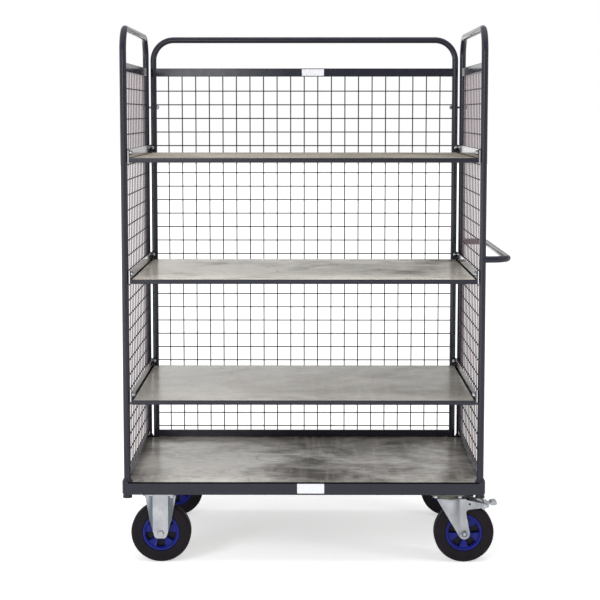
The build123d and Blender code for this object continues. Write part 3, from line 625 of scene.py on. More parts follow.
def board(name, dark, middle, light, contrast, seal, tone_by_place, depth_wear_and_shade):
    """Sealed grey board: pale and glossy in wear patches and where painted light falls, clouded, with brushed
    dark smears and hairlines.

    Two tables say how pale it is along its length and along its depth: wear together with painted light and
    shade, paler on the lit side and darker where it is shaded. Seal is the share of clear coat.
    """
    made, tree, link = new_material(name, Coat_Roughness=0.24, Coat_IOR=1.7, Specular_IOR_Level=0.3)
    clouds = effect(tree, "Mottle", Scale=4.5, Detail=6.0, Sharpness=0.6, Warp=0.6)
    streaks = effect(tree, "Mottle", Scale=20.0, Stretch=(0.5, 1.0, 1.0), Detail=8.0, Sharpness=0.7, Warp=0.5)
    strokes = effect(
        tree, "Mottle", Scale=60.0, Stretch=(0.35, 1.0, 1.0), Detail=6.0, Sharpness=0.7, Warp=0.2
    )
    smears = effect(tree, "Mottle", Scale=6.0, Stretch=(0.6, 1.0, 1.0), Detail=10.0, Sharpness=0.66, Warp=0.5)
    wipes = effect(tree, "Mottle", Scale=40.0, Stretch=(1.0, 0.08, 1.0), Detail=4.0, Warp=0.1)
    speckle = effect(tree, "Mottle", Scale=260.0, Detail=3.0)
    hairlines = math_node(tree, "MULTIPLY", effect(tree, "Hairlines", Scale=2.6, Width=0.004), 0.7 * contrast)

    uneven = 0.55 * contrast
    # Painted light and shade with the wear: paleness by place along the length and the depth.
    deepways = between(tree, wear_and_light_along(tree, 1, depth_wear_and_shade), -0.5, 0.5)
    wear_and_light = math_node(tree, "ADD", wear_and_light_along(tree, 0, tone_by_place), deepways)
    cloudy = math_node(tree, "ADD", wear_and_light, between(tree, clouds, -uneven, uneven))
    paleness = math_node(tree, "ADD", cloudy, between(tree, streaks, -uneven, uneven))
    brushed = math_node(tree, "MULTIPLY", smears, between(tree, streaks, 0.4, 1.5))
    bare = spread(tree, cloudy, 0.1, 0.9, 1.0, 0.12)
    heavy = math_node(tree, "MULTIPLY", spread(tree, brushed, 0.25, 0.85, 0.0, contrast), bare)

    face = mix_colours(tree, between(tree, paleness, 0.0, 1.0), middle, light)
    face = mix_colours(tree, heavy, face, dark)
    face = mix_colours(tree, spread(tree, strokes, 0.45, 1.0, 0.0, 0.65 * contrast), face, dark)
    face = mix_colours(tree, spread(tree, wipes, 0.55, 1.0, 0.0, 0.2), face, light)
    face = mix_colours(tree, spread(tree, speckle, 0.4, 1.0, 0.0, 0.25), face, middle)
    link("Base Color", mix_colours(tree, hairlines, face, dark))

    rubbed = math_node(tree, "MAXIMUM", heavy, spread(tree, strokes, 0.4, 1.0, 0.0, 0.8 * contrast))
    dull = math_node(tree, "MAXIMUM", rubbed, hairlines)
    gloss = math_node(tree, "SUBTRACT", spread(tree, paleness, -0.2, 0.9, 0.3, 1.0), dull)
    link("Roughness", spread(tree, brushed, 0.2, 1.0, 0.6, 0.74))
    link("Coat Weight", between(tree, gloss, 0.1 * seal, seal))
    link("Normal", effect(tree, "Grain", Scale=320.0, Strength=0.03, Depth=0.0003))
    return made


# Paleness tables, wear with painted light and shade: the deck is paler on its lit left and darker at its
# shaded ends and rear, in the shelf's shadow; the shelves are painted paler to the left.
DECK_WEAR_AND_LIGHT = (
    (0.0, 0.4), (0.08, 0.72), (0.3, 0.8), (0.42, 0.38), (0.52, 0.02), (0.62, 0.15), (0.78, 0.42), (1.0, 0.3),
)
DECK_DEPTH_WEAR_AND_SHADE = ((0.0, 0.5), (0.4, 0.85), (0.65, 0.6), (1.0, 0.3))
SHELF_PAINTED_LIGHT = ((0.0, 0.85), (0.5, 0.6), (1.0, 0.35))
SOFT_EDGE = 0.0005


def deck_face():
    shades = (colours().deck_dark, colours().deck_middle, colours().deck_light)
    return board("Deck face", *shades, 0.9, 1.0, DECK_WEAR_AND_LIGHT, DECK_DEPTH_WEAR_AND_SHADE)


def shelf_board(name, painted_light_tone, contrast, seal, front, rear):
    """A shelf's board, its colours scaled by painted light, and how pale it is at its front and rear."""
    shades = (colours().shelf_dark, colours().shelf_middle, colours().shelf_light)
    toned = [scaled(shade, painted_light_tone) for shade in shades]
    return board(name, *toned, contrast, seal, SHELF_PAINTED_LIGHT, ((0.0, front), (1.0, rear)))


# Lit and shaded copies of one board: each shelf's colours are scaled by painted light, the middle shelf's
# lighter, the top shelf's darker.
def lower_shelf_face():
    return shelf_board("Lower shelf face", (0.86, 0.87, 0.88), 0.5, 1.0, 0.45, 0.8)


def middle_shelf_face():
    return shelf_board("Middle shelf face", (1.35, 1.34, 1.3), 0.95, 1.0, 0.85, 0.6)


def top_shelf_face():
    return shelf_board("Top shelf face", (0.56, 0.54, 0.5), 0.8, 0.0, 0.5, 0.5)


def greased_and_shaded_above(tree, face, level):
    """A face darker above a level: a greasy film with painted shade under the swivel plate, and dark bands of
    painted shade in the races.
    """
    lines = effect(tree, "Mottle", Scale=300.0, Stretch=(0.05, 0.05, 1.0), Detail=2.0)
    grease_and_shade = mix_colours(tree, spread(tree, lines, 0.3, 0.8, 0.0, 0.8), colours().grease_and_shade, colours().crevice_shade)
    height = coordinate(tree, own_place(tree), "Z")
    return mix_colours(tree, spread(tree, height, level, level + SOFT_EDGE, 0.0, 0.95), face, grease_and_shade)


def ringed(tree, face, x, z, inner, outer, shade):
    """A face with a soft-edged ring of another colour about a line along Y."""
    shifted = vector_node(tree, "SUBTRACT", own_place(tree), (x, 0.0, z))[0]
    flat = vector_node(tree, "MULTIPLY", shifted, (1.0, 0.0, 1.0))[0]
    away = vector_node(tree, "LENGTH", flat)["Value"]
    beyond_inner = spread(tree, away, inner - SOFT_EDGE, inner + SOFT_EDGE, 0.0, 0.9)
    within_outer = spread(tree, away, outer - SOFT_EDGE, outer + SOFT_EDGE, 0.9, 0.0)
    return mix_colours(tree, math_node(tree, "MINIMUM", beyond_inner, within_outer), face, shade)


def zinc_plate(name, low, high, fold_shade=0.0, painted_shade=0.9, greased_and_shaded=None, ring=None):
    """Bright zinc on pressed steel: dull patches, fine rolling lines, uneven gloss, and painted shade, bluer
    and darker, on faces that don't look to the front or back.

    Painted shade also darkens crevices that ambient occlusion finds closed in, as far as one value sets.
    Above a given level lies a greasy film with painted shade. Ring holds a ring's X and Z, its two radii and
    its colour, for a ring of painted shade.
    """
    made, tree, link = new_material(name, Metallic=1.0)
    patches = effect(tree, "Mottle", Scale=26.0, Detail=6.0, Warp=0.4)
    lines = effect(tree, "Mottle", Scale=260.0, Stretch=(1.0, 1.0, 0.06), Detail=3.0)
    tone_by_place = math_node(tree, "MULTIPLY", patches, between(tree, lines, 0.55, 1.0))
    face = mix_colours(tree, tone_by_place, colours().zinc, colours().zinc_shade)
    if greased_and_shaded is not None:
        face = greased_and_shaded_above(tree, face, greased_and_shaded)
    if ring is not None:
        face = ringed(tree, face, *ring)
    normal = add_node(tree, "ShaderNodeTexCoord").outputs["Normal"]
    facing = math_node(tree, "ABSOLUTE", coordinate(tree, normal, "Y"))
    # Painted shade: faces that don't look to the front or back get a bluer, darker colour, standing in for
    # the shade on folded flanks and axle heads' sides.
    face = mix_colours(tree, spread(tree, facing, 0.99, 0.95, 0.0, fold_shade), face, colours().zinc_fold_shade)
    # Painted shade: crevices that ambient occlusion finds closed in are darkened towards the crevice shade
    # colour.
    open_sky = add_node(tree, "ShaderNodeAmbientOcclusion", {"Distance": 0.02}, samples=4).outputs["AO"]
    crevice_shade = spread(tree, open_sky, 0.15, 0.75, painted_shade, 0.0)
    link("Base Color", mix_colours(tree, crevice_shade, face, colours().crevice_shade))
    link("Roughness", between(tree, patches, low, high))
    link("Normal", effect(tree, "Grain", Scale=500.0, Strength=0.06, Depth=0.0002))
    return made


def castor_zinc():
    return zinc_plate("Zinc plate", 0.22, 0.36)


# The fixed forks' zinc, with painted shade on its folded flanks.
def fold_shaded_zinc():
    return zinc_plate("Fold-shaded zinc", 0.22, 0.36, fold_shade=0.9)


def satin_zinc():
    size = sizes()
    x, z = swivel_axle()
    # Painted shade: a dark disc over the fork's small hole and round its rim.
    hole = (x + size.spring_hole_reach, z + size.spring_hole_rise, 0.0, size.spring_hole_shade, colours().crevice_shade)
    # Painted shade with the greasy film: the swivel head is darkened above this level, under its plate.
    greased_and_shaded = corners("swivel_balls")[0][2] - size.grease_and_shade_drop
    return zinc_plate("Satin zinc", 0.4, 0.52, painted_shade=0.3, greased_and_shaded=greased_and_shaded, ring=hole)


def fastener_zinc():
    return zinc_plate("Fastener zinc", 0.1, 0.2)


# Axle ends, with painted shade on their sides.
def axle_zinc():
    return zinc_plate("Axle zinc", 0.1, 0.2, fold_shade=0.95)


# Swivel axle ends, with painted shade on their sides and a painted ring of shade round their middle.
def swivel_axle_zinc():
    ring = (*swivel_axle(), sizes().axle_shade_ring_inner, sizes().axle_shade_ring_outer, colours().zinc_fold_shade)
    return zinc_plate("Swivel axle zinc", 0.1, 0.2, fold_shade=0.95, ring=ring)


def polished_zinc():
    return zinc_plate("Polished zinc", 0.04, 0.08)


def bearing_steel():
    """Oiled steel: darker than the zinc, with soft streaks of oil."""
    made, tree, link = new_material("Bearing steel", Metallic=1.0)
    oil = effect(tree, "Mottle", Scale=60.0, Detail=4.0, Warp=0.6)
    link("Base Color", mix_colours(tree, oil, scaled(colours().bearing, 0.55), colours().bearing))
    link("Roughness", between(tree, oil, 0.18, 0.36))
    return made


def tyre_rubber():
    """Black rubber: grey bloom in patches, a fine grain and a matt sheen."""
    made, tree, link = new_material("Tyre rubber", Specular_IOR_Level=0.2)
    bloom = effect(tree, "Mottle", Scale=30.0, Detail=7.0, Warp=0.5)
    link("Base Color", mix_colours(tree, bloom, colours().rubber, scaled(colours().rubber, 1.7, lift=0.004)))
    link("Roughness", between(tree, bloom, 0.52, 0.72))
    link("Normal", effect(tree, "Grain", Scale=900.0, Strength=0.25, Depth=0.0002))
    return made


def wheel_plastic():
    """Blue moulded plastic: slight flow patches, a fine moulded grain, scuffs and painted shade in the
    pockets.
    """
    made, tree, link = new_material("Wheel plastic", Specular_IOR_Level=0.22)
    plastic = colours().plastic
    flow = effect(tree, "Mottle", Scale=22.0, Detail=4.0, Warp=1.0)
    scuffs = effect(tree, "Scuffs", Scale=90.0, Stretch=(1.0, 1.0, 0.2), Warp=0.8, Reach=0.66)
    face = mix_colours(tree, flow, scaled(plastic, 0.72), plastic)
    face = mix_colours(tree, math_node(tree, "MULTIPLY", scuffs, 0.25), face, scaled(plastic, 0.6, lift=0.12))
    # Painted shade: the deeper a point lies in a pocket, the darker it is, towards the pocket colour.
    depth = add_node(tree, "ShaderNodeAttribute", attribute_name="pocket").outputs["Fac"]
    deep = spread(tree, depth, 0.05, 0.7, 0.0, 1.0)
    crevice_shade = math_node(tree, "MULTIPLY", deep, between(tree, flow, 1.0, 0.92))
    link("Base Color", mix_colours(tree, crevice_shade, face, colours().pocket))
    link("Roughness", between(tree, flow, 0.32, 0.45))
    link("Normal", effect(tree, "Grain", Scale=700.0, Strength=0.08, Depth=0.0002))
    return made


def label_film():
    """Blank label film: off-white, with faint patches of handling."""
    made, tree, link = new_material("Label film")
    marks = effect(tree, "Mottle", Scale=60.0, Detail=5.0)
    handled = between(tree, marks, 0.0, 0.5)
    link("Base Color", mix_colours(tree, handled, colours().label, scaled(colours().label, 0.9)))
    link("Roughness", between(tree, marks, 0.3, 0.45))
    return made


FINISHES = {
    "frame_paint": frame_paint,
    "lip_shade_paint": lip_shade_paint,
    "plate_paint": plate_paint,
    "mesh_paint": mesh_paint,
    "highlit_mesh_paint": highlit_mesh_paint,
    "deck_face": deck_face,
    "lower_shelf_face": lower_shelf_face,
    "middle_shelf_face": middle_shelf_face,
    "top_shelf_face": top_shelf_face,
    "castor_zinc": castor_zinc,
    "fold_shaded_zinc": fold_shaded_zinc,
    "satin_zinc": satin_zinc,
    "fastener_zinc": fastener_zinc,
    "axle_zinc": axle_zinc,
    "swivel_axle_zinc": swivel_axle_zinc,
    "polished_zinc": polished_zinc,
    "bearing_steel": bearing_steel,
    "tyre": tyre_rubber,
    "wheel_plastic": wheel_plastic,
    "label": label_film,
}
made_finishes = {}


def finish(name):
    """A material, made the first time that it is asked for."""
    if name not in made_finishes:
        made_finishes[name] = FINISHES[name]()
    return made_finishes[name]


# Pieces


def put_in_scene(name, mesh, nodes, slot, look, body, sharp):
    """A mesh as an object on a body, in place of solids, smooth except across edges sharper than an angle.

    Its look is the name of a finish, which is its slot's own if none is given.
    """
    mesh.shade_smooth()
    mesh.set_sharp_from_angle(angle=math.radians(sharp))
    mesh.materials.append(finish(look or slot))
    made = bpy.data.objects.new(name, mesh)
    bpy.context.scene.collection.objects.link(made)
    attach(made, body)
    if nodes:
        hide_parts(*nodes)
    return made


def piece(name, shells, nodes=(), slot=None, look=None, body=CHASSIS, sharp=40.0, values=None):
    """Joins shells into one object. Values are numbers for each point, kept by name for its finish."""
    points = np.concatenate([shell[0] for shell in shells])
    first = np.cumsum([0] + [len(shell[0]) for shell in shells])
    blocks = [block + start for start, shell in zip(first, shells) for block in shell[1]]
    mesh = bpy.data.meshes.new(name)
    mesh.from_pydata(points, [], [face for block in blocks for face in block.tolist()])
    mesh.validate()
    for label, numbers in (values or {}).items():
        mesh.attributes.new(label, "FLOAT", "POINT").data.foreach_set("value", numbers.ravel())
    made = put_in_scene(name, mesh, nodes, slot, look, body, sharp)
    made.modifiers.new("Flat faces", "WEIGHTED_NORMAL").keep_sharp = True
    return made


def softened(node, slot, look=None, body=CHASSIS):
    """A solid's own shape with its triangles joined and its edges rounded, in place of the solid."""
    sharp = 30.0
    name = node + "_softened"
    shape = bmesh.new()
    shape.from_mesh(frame["nodes"][node].data)
    bmesh.ops.remove_doubles(shape, verts=shape.verts, dist=1e-6)
    bmesh.ops.dissolve_limit(
        shape, angle_limit=math.radians(1), verts=shape.verts, edges=shape.edges, delimit={"NORMAL"}
    )
    mesh = bpy.data.meshes.new(name)
    shape.to_mesh(mesh)
    shape.free()
    made = put_in_scene(name, mesh, [node], slot, look, body, sharp)
    bevel = made.modifiers.new("Edges", "BEVEL")
    bevel.width = sizes().pressed_edge
    bevel.segments = 2
    bevel.limit_method = "ANGLE"
    bevel.angle_limit = math.radians(sharp)
    bevel.harden_normals = True


# Places worked out from the solids


def hoop_legs():
    """The two leg axes of each hoop, as points in X and Y."""
    radius = sizes().tube_radius
    legs = {}
    for end in ENDS:
        low, high = corners(end + "_end_hoop")
        x = (low[0] + high[0]) / 2
        legs[end] = [(x, low[1] + radius), (x, high[1] - radius)]
    low, high = corners("back_hoop")
    y = (low[1] + high[1]) / 2
    legs["back"] = [(low[0] + radius, y), (high[0] - radius, y)]
    return legs


def swivel_axle():
    """The X and Z of the swivel wheels' axles."""
    x, _, z = middle_of("front_right_tyre")
    return x, z


# Operators, one for each piece or group of like pieces


class TROLLEY_OT_hoops(bpy.types.Operator):
    """Bends the tube of the three hoops and the push handle"""

    bl_idname = "trolley.hoops"
    bl_label = "Hoops and handle"

    def execute(self, context):
        legs = hoop_legs()
        radius = sizes().tube_radius
        for key, node in (("left", "left_end_hoop"), ("right", "right_end_hoop"), ("back", "back_hoop")):
            low, high = corners(node)
            (x0, y0), (x1, y1) = legs[key]
            top = high[2] - radius
            path = [(x0, y0, low[2]), (x0, y0, top), (x1, y1, top), (x1, y1, low[2])]
            piece(node + "_tube", [bent_tube(path, sizes().hoop_bend)], [node], "frame_paint")
        level = middle_of("push_handle")[2]
        reach = corners("push_handle")[1][0] - radius
        (x0, y0), (x1, y1) = legs["right"]
        path = [(x0, y0, level), (reach, y0, level), (reach, y1, level), (x1, y1, level)]
        handle = bent_tube(path, sizes().handle_bend)
        piece("push_handle_tube", [handle], ["push_handle"], "frame_paint")
        return {"FINISHED"}


class TROLLEY_OT_hoop_bars(bpy.types.Operator):
    """Sets the rounded box bars across the hoops, their ends inside the legs"""

    bl_idname = "trolley.hoop_bars"
    bl_label = "Hoop bars"

    def execute(self, context):
        for node in ("hoop_top_bars", "hoop_bottom_bars"):
            level = middle_of(node)[2]
            section = rounded(rectangle(sizes().bar_depth, 2 * half_of(node)[2]), sizes().bar_corner)
            bars = [straight(section, (*start, level), (*end, level)) for start, end in hoop_legs().values()]
            piece(node + "_rounded", bars, [node], "frame_paint")
        return {"FINISHED"}


class TROLLEY_OT_mesh(bpy.types.Operator):
    """Lays the crossing round wires of the welded mesh panels"""

    bl_idname = "trolley.mesh"
    bl_label = "Mesh panels"

    wire_sides = 8

    def panel(self, start, end, low, high):
        """Wires of one panel: level ones on one side of its plane, upright ones on the other."""
        pitch = sizes().mesh_pitch
        wire = sizes().mesh_wire
        section = circle(wire / 2, self.wire_sides)
        start = np.array([*start, 0.0])
        end = np.array([*end, 0.0])
        span = np.linalg.norm(end - start)
        along = (end - start) / span
        side = np.cross(UP, along) * (wire - sizes().mesh_lap) / 2
        reach = span / 2 - sizes().tube_radius
        columns = math.floor((reach - wire) / pitch)
        middle = (start + end) / 2
        levels = []
        uprights = []
        for level in np.arange(low + sizes().mesh_first_row, high - sizes().mesh_first_row, pitch):
            shift = [0, 0, level] - side
            levels.append(straight(section, start + shift, end + shift))
        for column in range(-columns, columns + 1):
            foot = middle + along * column * pitch + side
            uprights.append(straight(section, foot + [0, 0, low], foot + [0, 0, high], along))
        return levels, uprights

    def execute(self, context):
        legs = hoop_legs()
        low = corners("hoop_bottom_bars")[1][2]
        high = corners("hoop_top_bars")[0][2]
        left = self.panel(*legs["left"], low, high)
        right = self.panel(*legs["right"][::-1], low, high)
        piece("end_mesh_levels", left[0] + right[0], ["end_meshes"], "mesh_paint")
        # The end panels' upright wires get the painted highlight.
        piece("end_mesh_uprights", left[1] + right[1], ["end_meshes"], "mesh_paint", "highlit_mesh_paint")
        levels, uprights = self.panel(*legs["back"], low, high)
        back = piece("back_mesh_wire", levels + uprights, ["back_mesh"], "mesh_paint")
        back.visible_glossy = False
        return {"FINISHED"}


class TROLLEY_OT_base(bpy.types.Operator):
    """Rolls the base rails with their ledges and turns the corner sockets"""

    bl_idname = "trolley.base"
    bl_label = "Base rails and sockets"

    def rail(self, node, first, second, inward, trim):
        """A rail's upright web, its ledge, which is trimmed at the corners, and its web's top edge."""
        size = sizes()
        first, second, inward = [np.array([*point, 0.0]) for point in (first, second, inward)]
        trim = trim * (second - first) / np.linalg.norm(second - first)
        web_low, web_high = [corner[2] for corner in corners(node)]
        web_top = web_high - size.rail_lip
        ledge_top = corners("deck_board")[0][2]
        fold = 0.48 * size.steel
        seam = size.steel_edge / 9
        web = rounded(rectangle(size.steel, web_top - web_low), [fold, fold, seam, seam])
        lip = rounded(rectangle(size.steel, size.rail_lip), [seam, seam, fold, fold])
        ledge = rounded(rectangle(size.ledge_width, size.steel), size.steel_edge)
        middle = inward * size.steel / 2 + [0, 0, (web_low + web_top) / 2]
        above = inward * size.steel / 2 + [0, 0, (web_top + web_high) / 2]
        under = inward * (size.steel + size.ledge_width / 2) + [0, 0, ledge_top - size.steel / 2]
        shells = [
            straight(web, first + middle, second + middle),
            straight(ledge, first + under + trim, second + under - trim),
        ]
        return shells, straight(lip, first + above, second + above)

    def execute(self, context):
        low, high = corners("corner_sockets")
        collar = sizes().collar_radius
        x0, y0 = low[:2] + collar
        x1, y1 = high[:2] - collar
        front = corners("base_front_rail")[0][1]
        rear = corners("base_rear_rail")[1][1]
        left, right = [corner[0] for corner in corners("base_end_rails")]
        rails = {}
        lips = []
        for node, first, second, inward in (
            ("base_front_rail", (x0, front), (x1, front), (0, 1)),
            ("base_rear_rail", (x0, rear), (x1, rear), (0, -1)),
            ("base_end_rails", (left, y0), (left, y1), (1, 0)),
            ("base_end_rails", (right, y0), (right, y1), (-1, 0)),
        ):
            shells, lip = self.rail(node, first, second, inward, collar + sizes().steel)
            rails.setdefault(node, []).extend(shells)
            lips.append(lip)
        for node, shells in rails.items():
            piece(node + "_rolled", shells, [node], "frame_paint")
        # The rails' top edges, a dark strip of painted shade.
        piece("base_rail_lips", lips, list(rails), "frame_paint", "lip_shade_paint")
        self.sockets(low[2], high[2], [(x, y, 0) for x in (x0, x1) for y in (y0, y1)])
        return {"FINISHED"}

    def sockets(self, bottom, top, places):
        """A socket's profile, from its foot to its cone's lip, turned about each leg."""
        collar = sizes().collar_radius
        spigot = sizes().spigot_radius
        foot = sizes().foot_radius
        tube = sizes().tube_radius
        rail_low = corners("base_front_rail")[0][2]
        step = collar - spigot
        outline = [
            (tube / 3, bottom),
            (foot, bottom),
            (foot, bottom + 2 * step),
            (spigot, bottom + 3 * step),
            (spigot, rail_low),
            (collar, rail_low + step),
            (collar, top - sizes().cone_rise),
            (tube + step / 2, top),
            (tube / 3, top),
        ]
        profile = rounded(outline, step / 3, steps=4)
        shells = [capped(turned_grid(profile, place, axis=2, segments=48)) for place in places]
        piece("corner_sockets_turned", shells, ["corner_sockets"], "frame_paint", sharp=60)


class TROLLEY_OT_deck(bpy.types.Operator):
    """Cuts the deck board round the sockets and sets its screws"""

    bl_idname = "trolley.deck"
    bl_label = "Deck board and screws"

    def execute(self, context):
        low, high = corners("deck_board")
        gap = sizes().board_edge / 2
        socket_low, socket_high = corners("corner_sockets")
        notch = 2 * sizes().collar_radius + gap
        left, right = socket_low[0] + notch, socket_high[0] - notch
        front, rear = socket_low[1] + notch, socket_high[1] - notch
        back_low, back_high = corners("back_hoop")
        back_left = back_low[0] + 2 * sizes().tube_radius + gap
        back_right = back_high[0] - 2 * sizes().tube_radius - gap
        step = back_low[1] - gap
        outline = [
            (left, low[1]), (right, low[1]), (right, front), (high[0], front), (high[0], rear), (right, rear),
            (right, step), (back_right, step), (back_right, high[1]), (back_left, high[1]), (back_left, step),
            (left, step), (left, rear), (low[0], rear), (low[0], front), (left, front),
        ]
        board = slab(outline, low[2], high[2], sizes().board_edge)
        piece("deck_board_sealed", [board], ["deck_board"], "deck_face")
        self.screws(high[2])
        return {"FINISHED"}

    def screws(self, level):
        """Pan heads with a dished recess: a rounded shoulder, a flat top and a shallow bowl."""
        low, high = corners("deck_screws")
        radius = sizes().screw_radius
        height = high[2] - level
        shoulder = arc((radius - height, 0), height, 0, 90, steps=5)
        bowl = [(0.42 * radius, height), (0.3 * radius, 0.5 * height), (0.1 * radius, 0.35 * height)]
        profile = [(radius, -height / 2), *shoulder, *bowl]
        columns = (low[0] + radius, high[0] - radius)
        rows = (low[1] + radius, high[1] - radius)
        places = [(x, y, level) for x in columns for y in rows]
        shells = [capped(turned_grid(profile, place, axis=2, segments=24)) for place in places]
        piece("deck_screws_dished", shells, ["deck_screws"], "fastener_zinc")


class TROLLEY_OT_shelves(bpy.types.Operator):
    """Folds the shelf frames and end plates and lays the boards"""

    bl_idname = "trolley.shelves"
    bl_label = "Shelves"

    def execute(self, context):
        plates = []
        for name in SHELVES:
            self.frame(name)
            self.board(name)
            plates += self.end_plates(name)
        piece("shelf_end_plates_cut", plates, ["shelf_end_plates"], "frame_paint", "plate_paint")
        return {"FINISHED"}

    def frame(self, name):
        """Folded angles along the front and rear edges, and flat bearers between them."""
        node = name + "_shelf_frame"
        (left, front, bottom), (right, rear, top) = corners(node)
        steel = sizes().steel
        edge = sizes().steel_edge
        flange = sizes().shelf_flange
        lip = top - bottom
        angle = np.array([(0, 0), (flange, 0), (flange, steel), (steel, steel), (steel, lip), (0, lip)])
        rounding = [0.9 * steel, edge, edge, 0.4 * steel, edge, edge]
        front_angle = rounded(angle, rounding)
        rear_angle = rounded(angle * [-1, 1], rounding)
        shells = [
            straight(front_angle, (left, front, bottom), (right, front, bottom)),
            straight(rear_angle, (left, rear, bottom), (right, rear, bottom)),
        ]
        bearer = rounded(rectangle(flange, steel), edge)
        level = bottom + steel / 2
        for x in (left + flange / 2, right - flange / 2):
            shells.append(straight(bearer, (x, front + flange, level), (x, rear - flange, level)))
        piece(node + "_folded", shells, [node], "frame_paint")

    def board(self, name):
        """A flat board with softened edges."""
        node = name + "_shelf_board"
        low, high = corners(node)
        outline = [(low[0], low[1]), (high[0], low[1]), (high[0], high[1]), (low[0], high[1])]
        board = slab(outline, low[2], high[2], sizes().board_edge)
        piece(node + "_sealed", [board], [node], "shelf_face", name + "_shelf_face")

    def end_plates(self, name):
        """Upright plates at both ends of a shelf, their upper corners rounded."""
        (left, _, bottom), (right, _, top) = corners(name + "_shelf_frame")
        plate_low, plate_high = corners("shelf_end_plates")
        front, rear = plate_low[1], plate_high[1]
        top += plate_high[2] - corners("top_shelf_board")[1][2]
        foot = sizes().plate_foot
        corner = sizes().plate_corner
        outline = [(front, bottom), (rear, bottom), (rear, top), (front, top)]
        outline = rounded(outline, [foot, foot, corner, corner])
        spans = (sorted((left, plate_low[0])), sorted((right, plate_high[0])))
        return [slab(outline, *span, sizes().steel_edge, axes=(1, 2, 0)) for span in spans]


class TROLLEY_OT_shelf_bolts(bpy.types.Operator):
    """Turns the domed heads of the shelf bolts"""

    bl_idname = "trolley.shelf_bolts"
    bl_label = "Shelf bolts"

    def execute(self, context):
        dome = sizes().dome_radius
        low, high = corners("shelf_bolts")
        above = high[2] - dome - corners("top_shelf_board")[1][2]
        head = self.head(dome, sizes().dome_collar)
        shells = []
        for name in SHELVES:
            frame_low, frame_high = corners(name + "_shelf_frame")
            level = frame_high[2] + above
            for inner, way in ((frame_low[0], 1), (frame_high[0], -1)):
                for y in (low[1] + dome, high[1] - dome):
                    grid = turned_grid(head * [1, way], (inner, y, level), axis=0, segments=28)
                    shells.append(capped(grid))
        piece("shelf_bolts_domed", shells, ["shelf_bolts"], "fastener_zinc", "polished_zinc")
        return {"FINISHED"}

    def head(self, dome, collar):
        """A collar with a rounded foot under a half sphere."""
        foot = [(0.9 * dome, -collar / 3), (0.9 * dome, 0.0), (dome, collar / 5)]
        return np.array([*foot, *arc((0, collar), dome, 0, 87, steps=10)])


class TROLLEY_OT_tyres(bpy.types.Operator):
    """Turns the tyres, with a stepped bead, ribbed sides and a crowned tread"""

    bl_idname = "trolley.tyres"
    bl_label = "Tyres"

    def execute(self, context):
        for wheel in WHEELS:
            node = wheel + "_tyre"
            _, half, radius = half_of(node)
            profile = self.profile(radius, half, half_of(wheel + "_wheel_centre")[2])
            shell = looped(turned_grid(profile, middle_of(node), axis=1, segments=128))
            piece(node + "_turned", [shell], [node], "tyre", body=wheel + "_wheel", sharp=50)
        return {"FINISHED"}

    def profile(self, radius, half, seat):
        """One side from the seat to the tread's middle, then the same side mirrored.

        The side's points are how far they lie out from the seat and in from the tyre's face.
        """
        rib = sizes().tyre_rib
        shoulder = sizes().tyre_shoulder
        bead = [(0.0001, 0.003), (0.0008, 0.0016), (0.0025, 0.0011)]
        inner_rib = [(0.006, rib), (0.0075, 0), (0.0095, 0), (0.011, rib)]
        outer_rib = [(0.019, rib), (0.0205, 0), (0.022, 0), (0.0235, rib / 2)]
        side = [(seat + out, half - drop) for out, drop in bead + inner_rib + outer_rib]
        corner = arc((radius - shoulder, half - shoulder), shoulder, 80, 12, steps=8)
        crown = 0.0003
        flat = 0.004
        tread = [(radius - crown, half - 1.25 * shoulder), (radius, flat), (radius, rib)]
        one = np.array([*side, *corner, *tread])
        return np.concatenate([one, one[::-1] * [1, -1]])


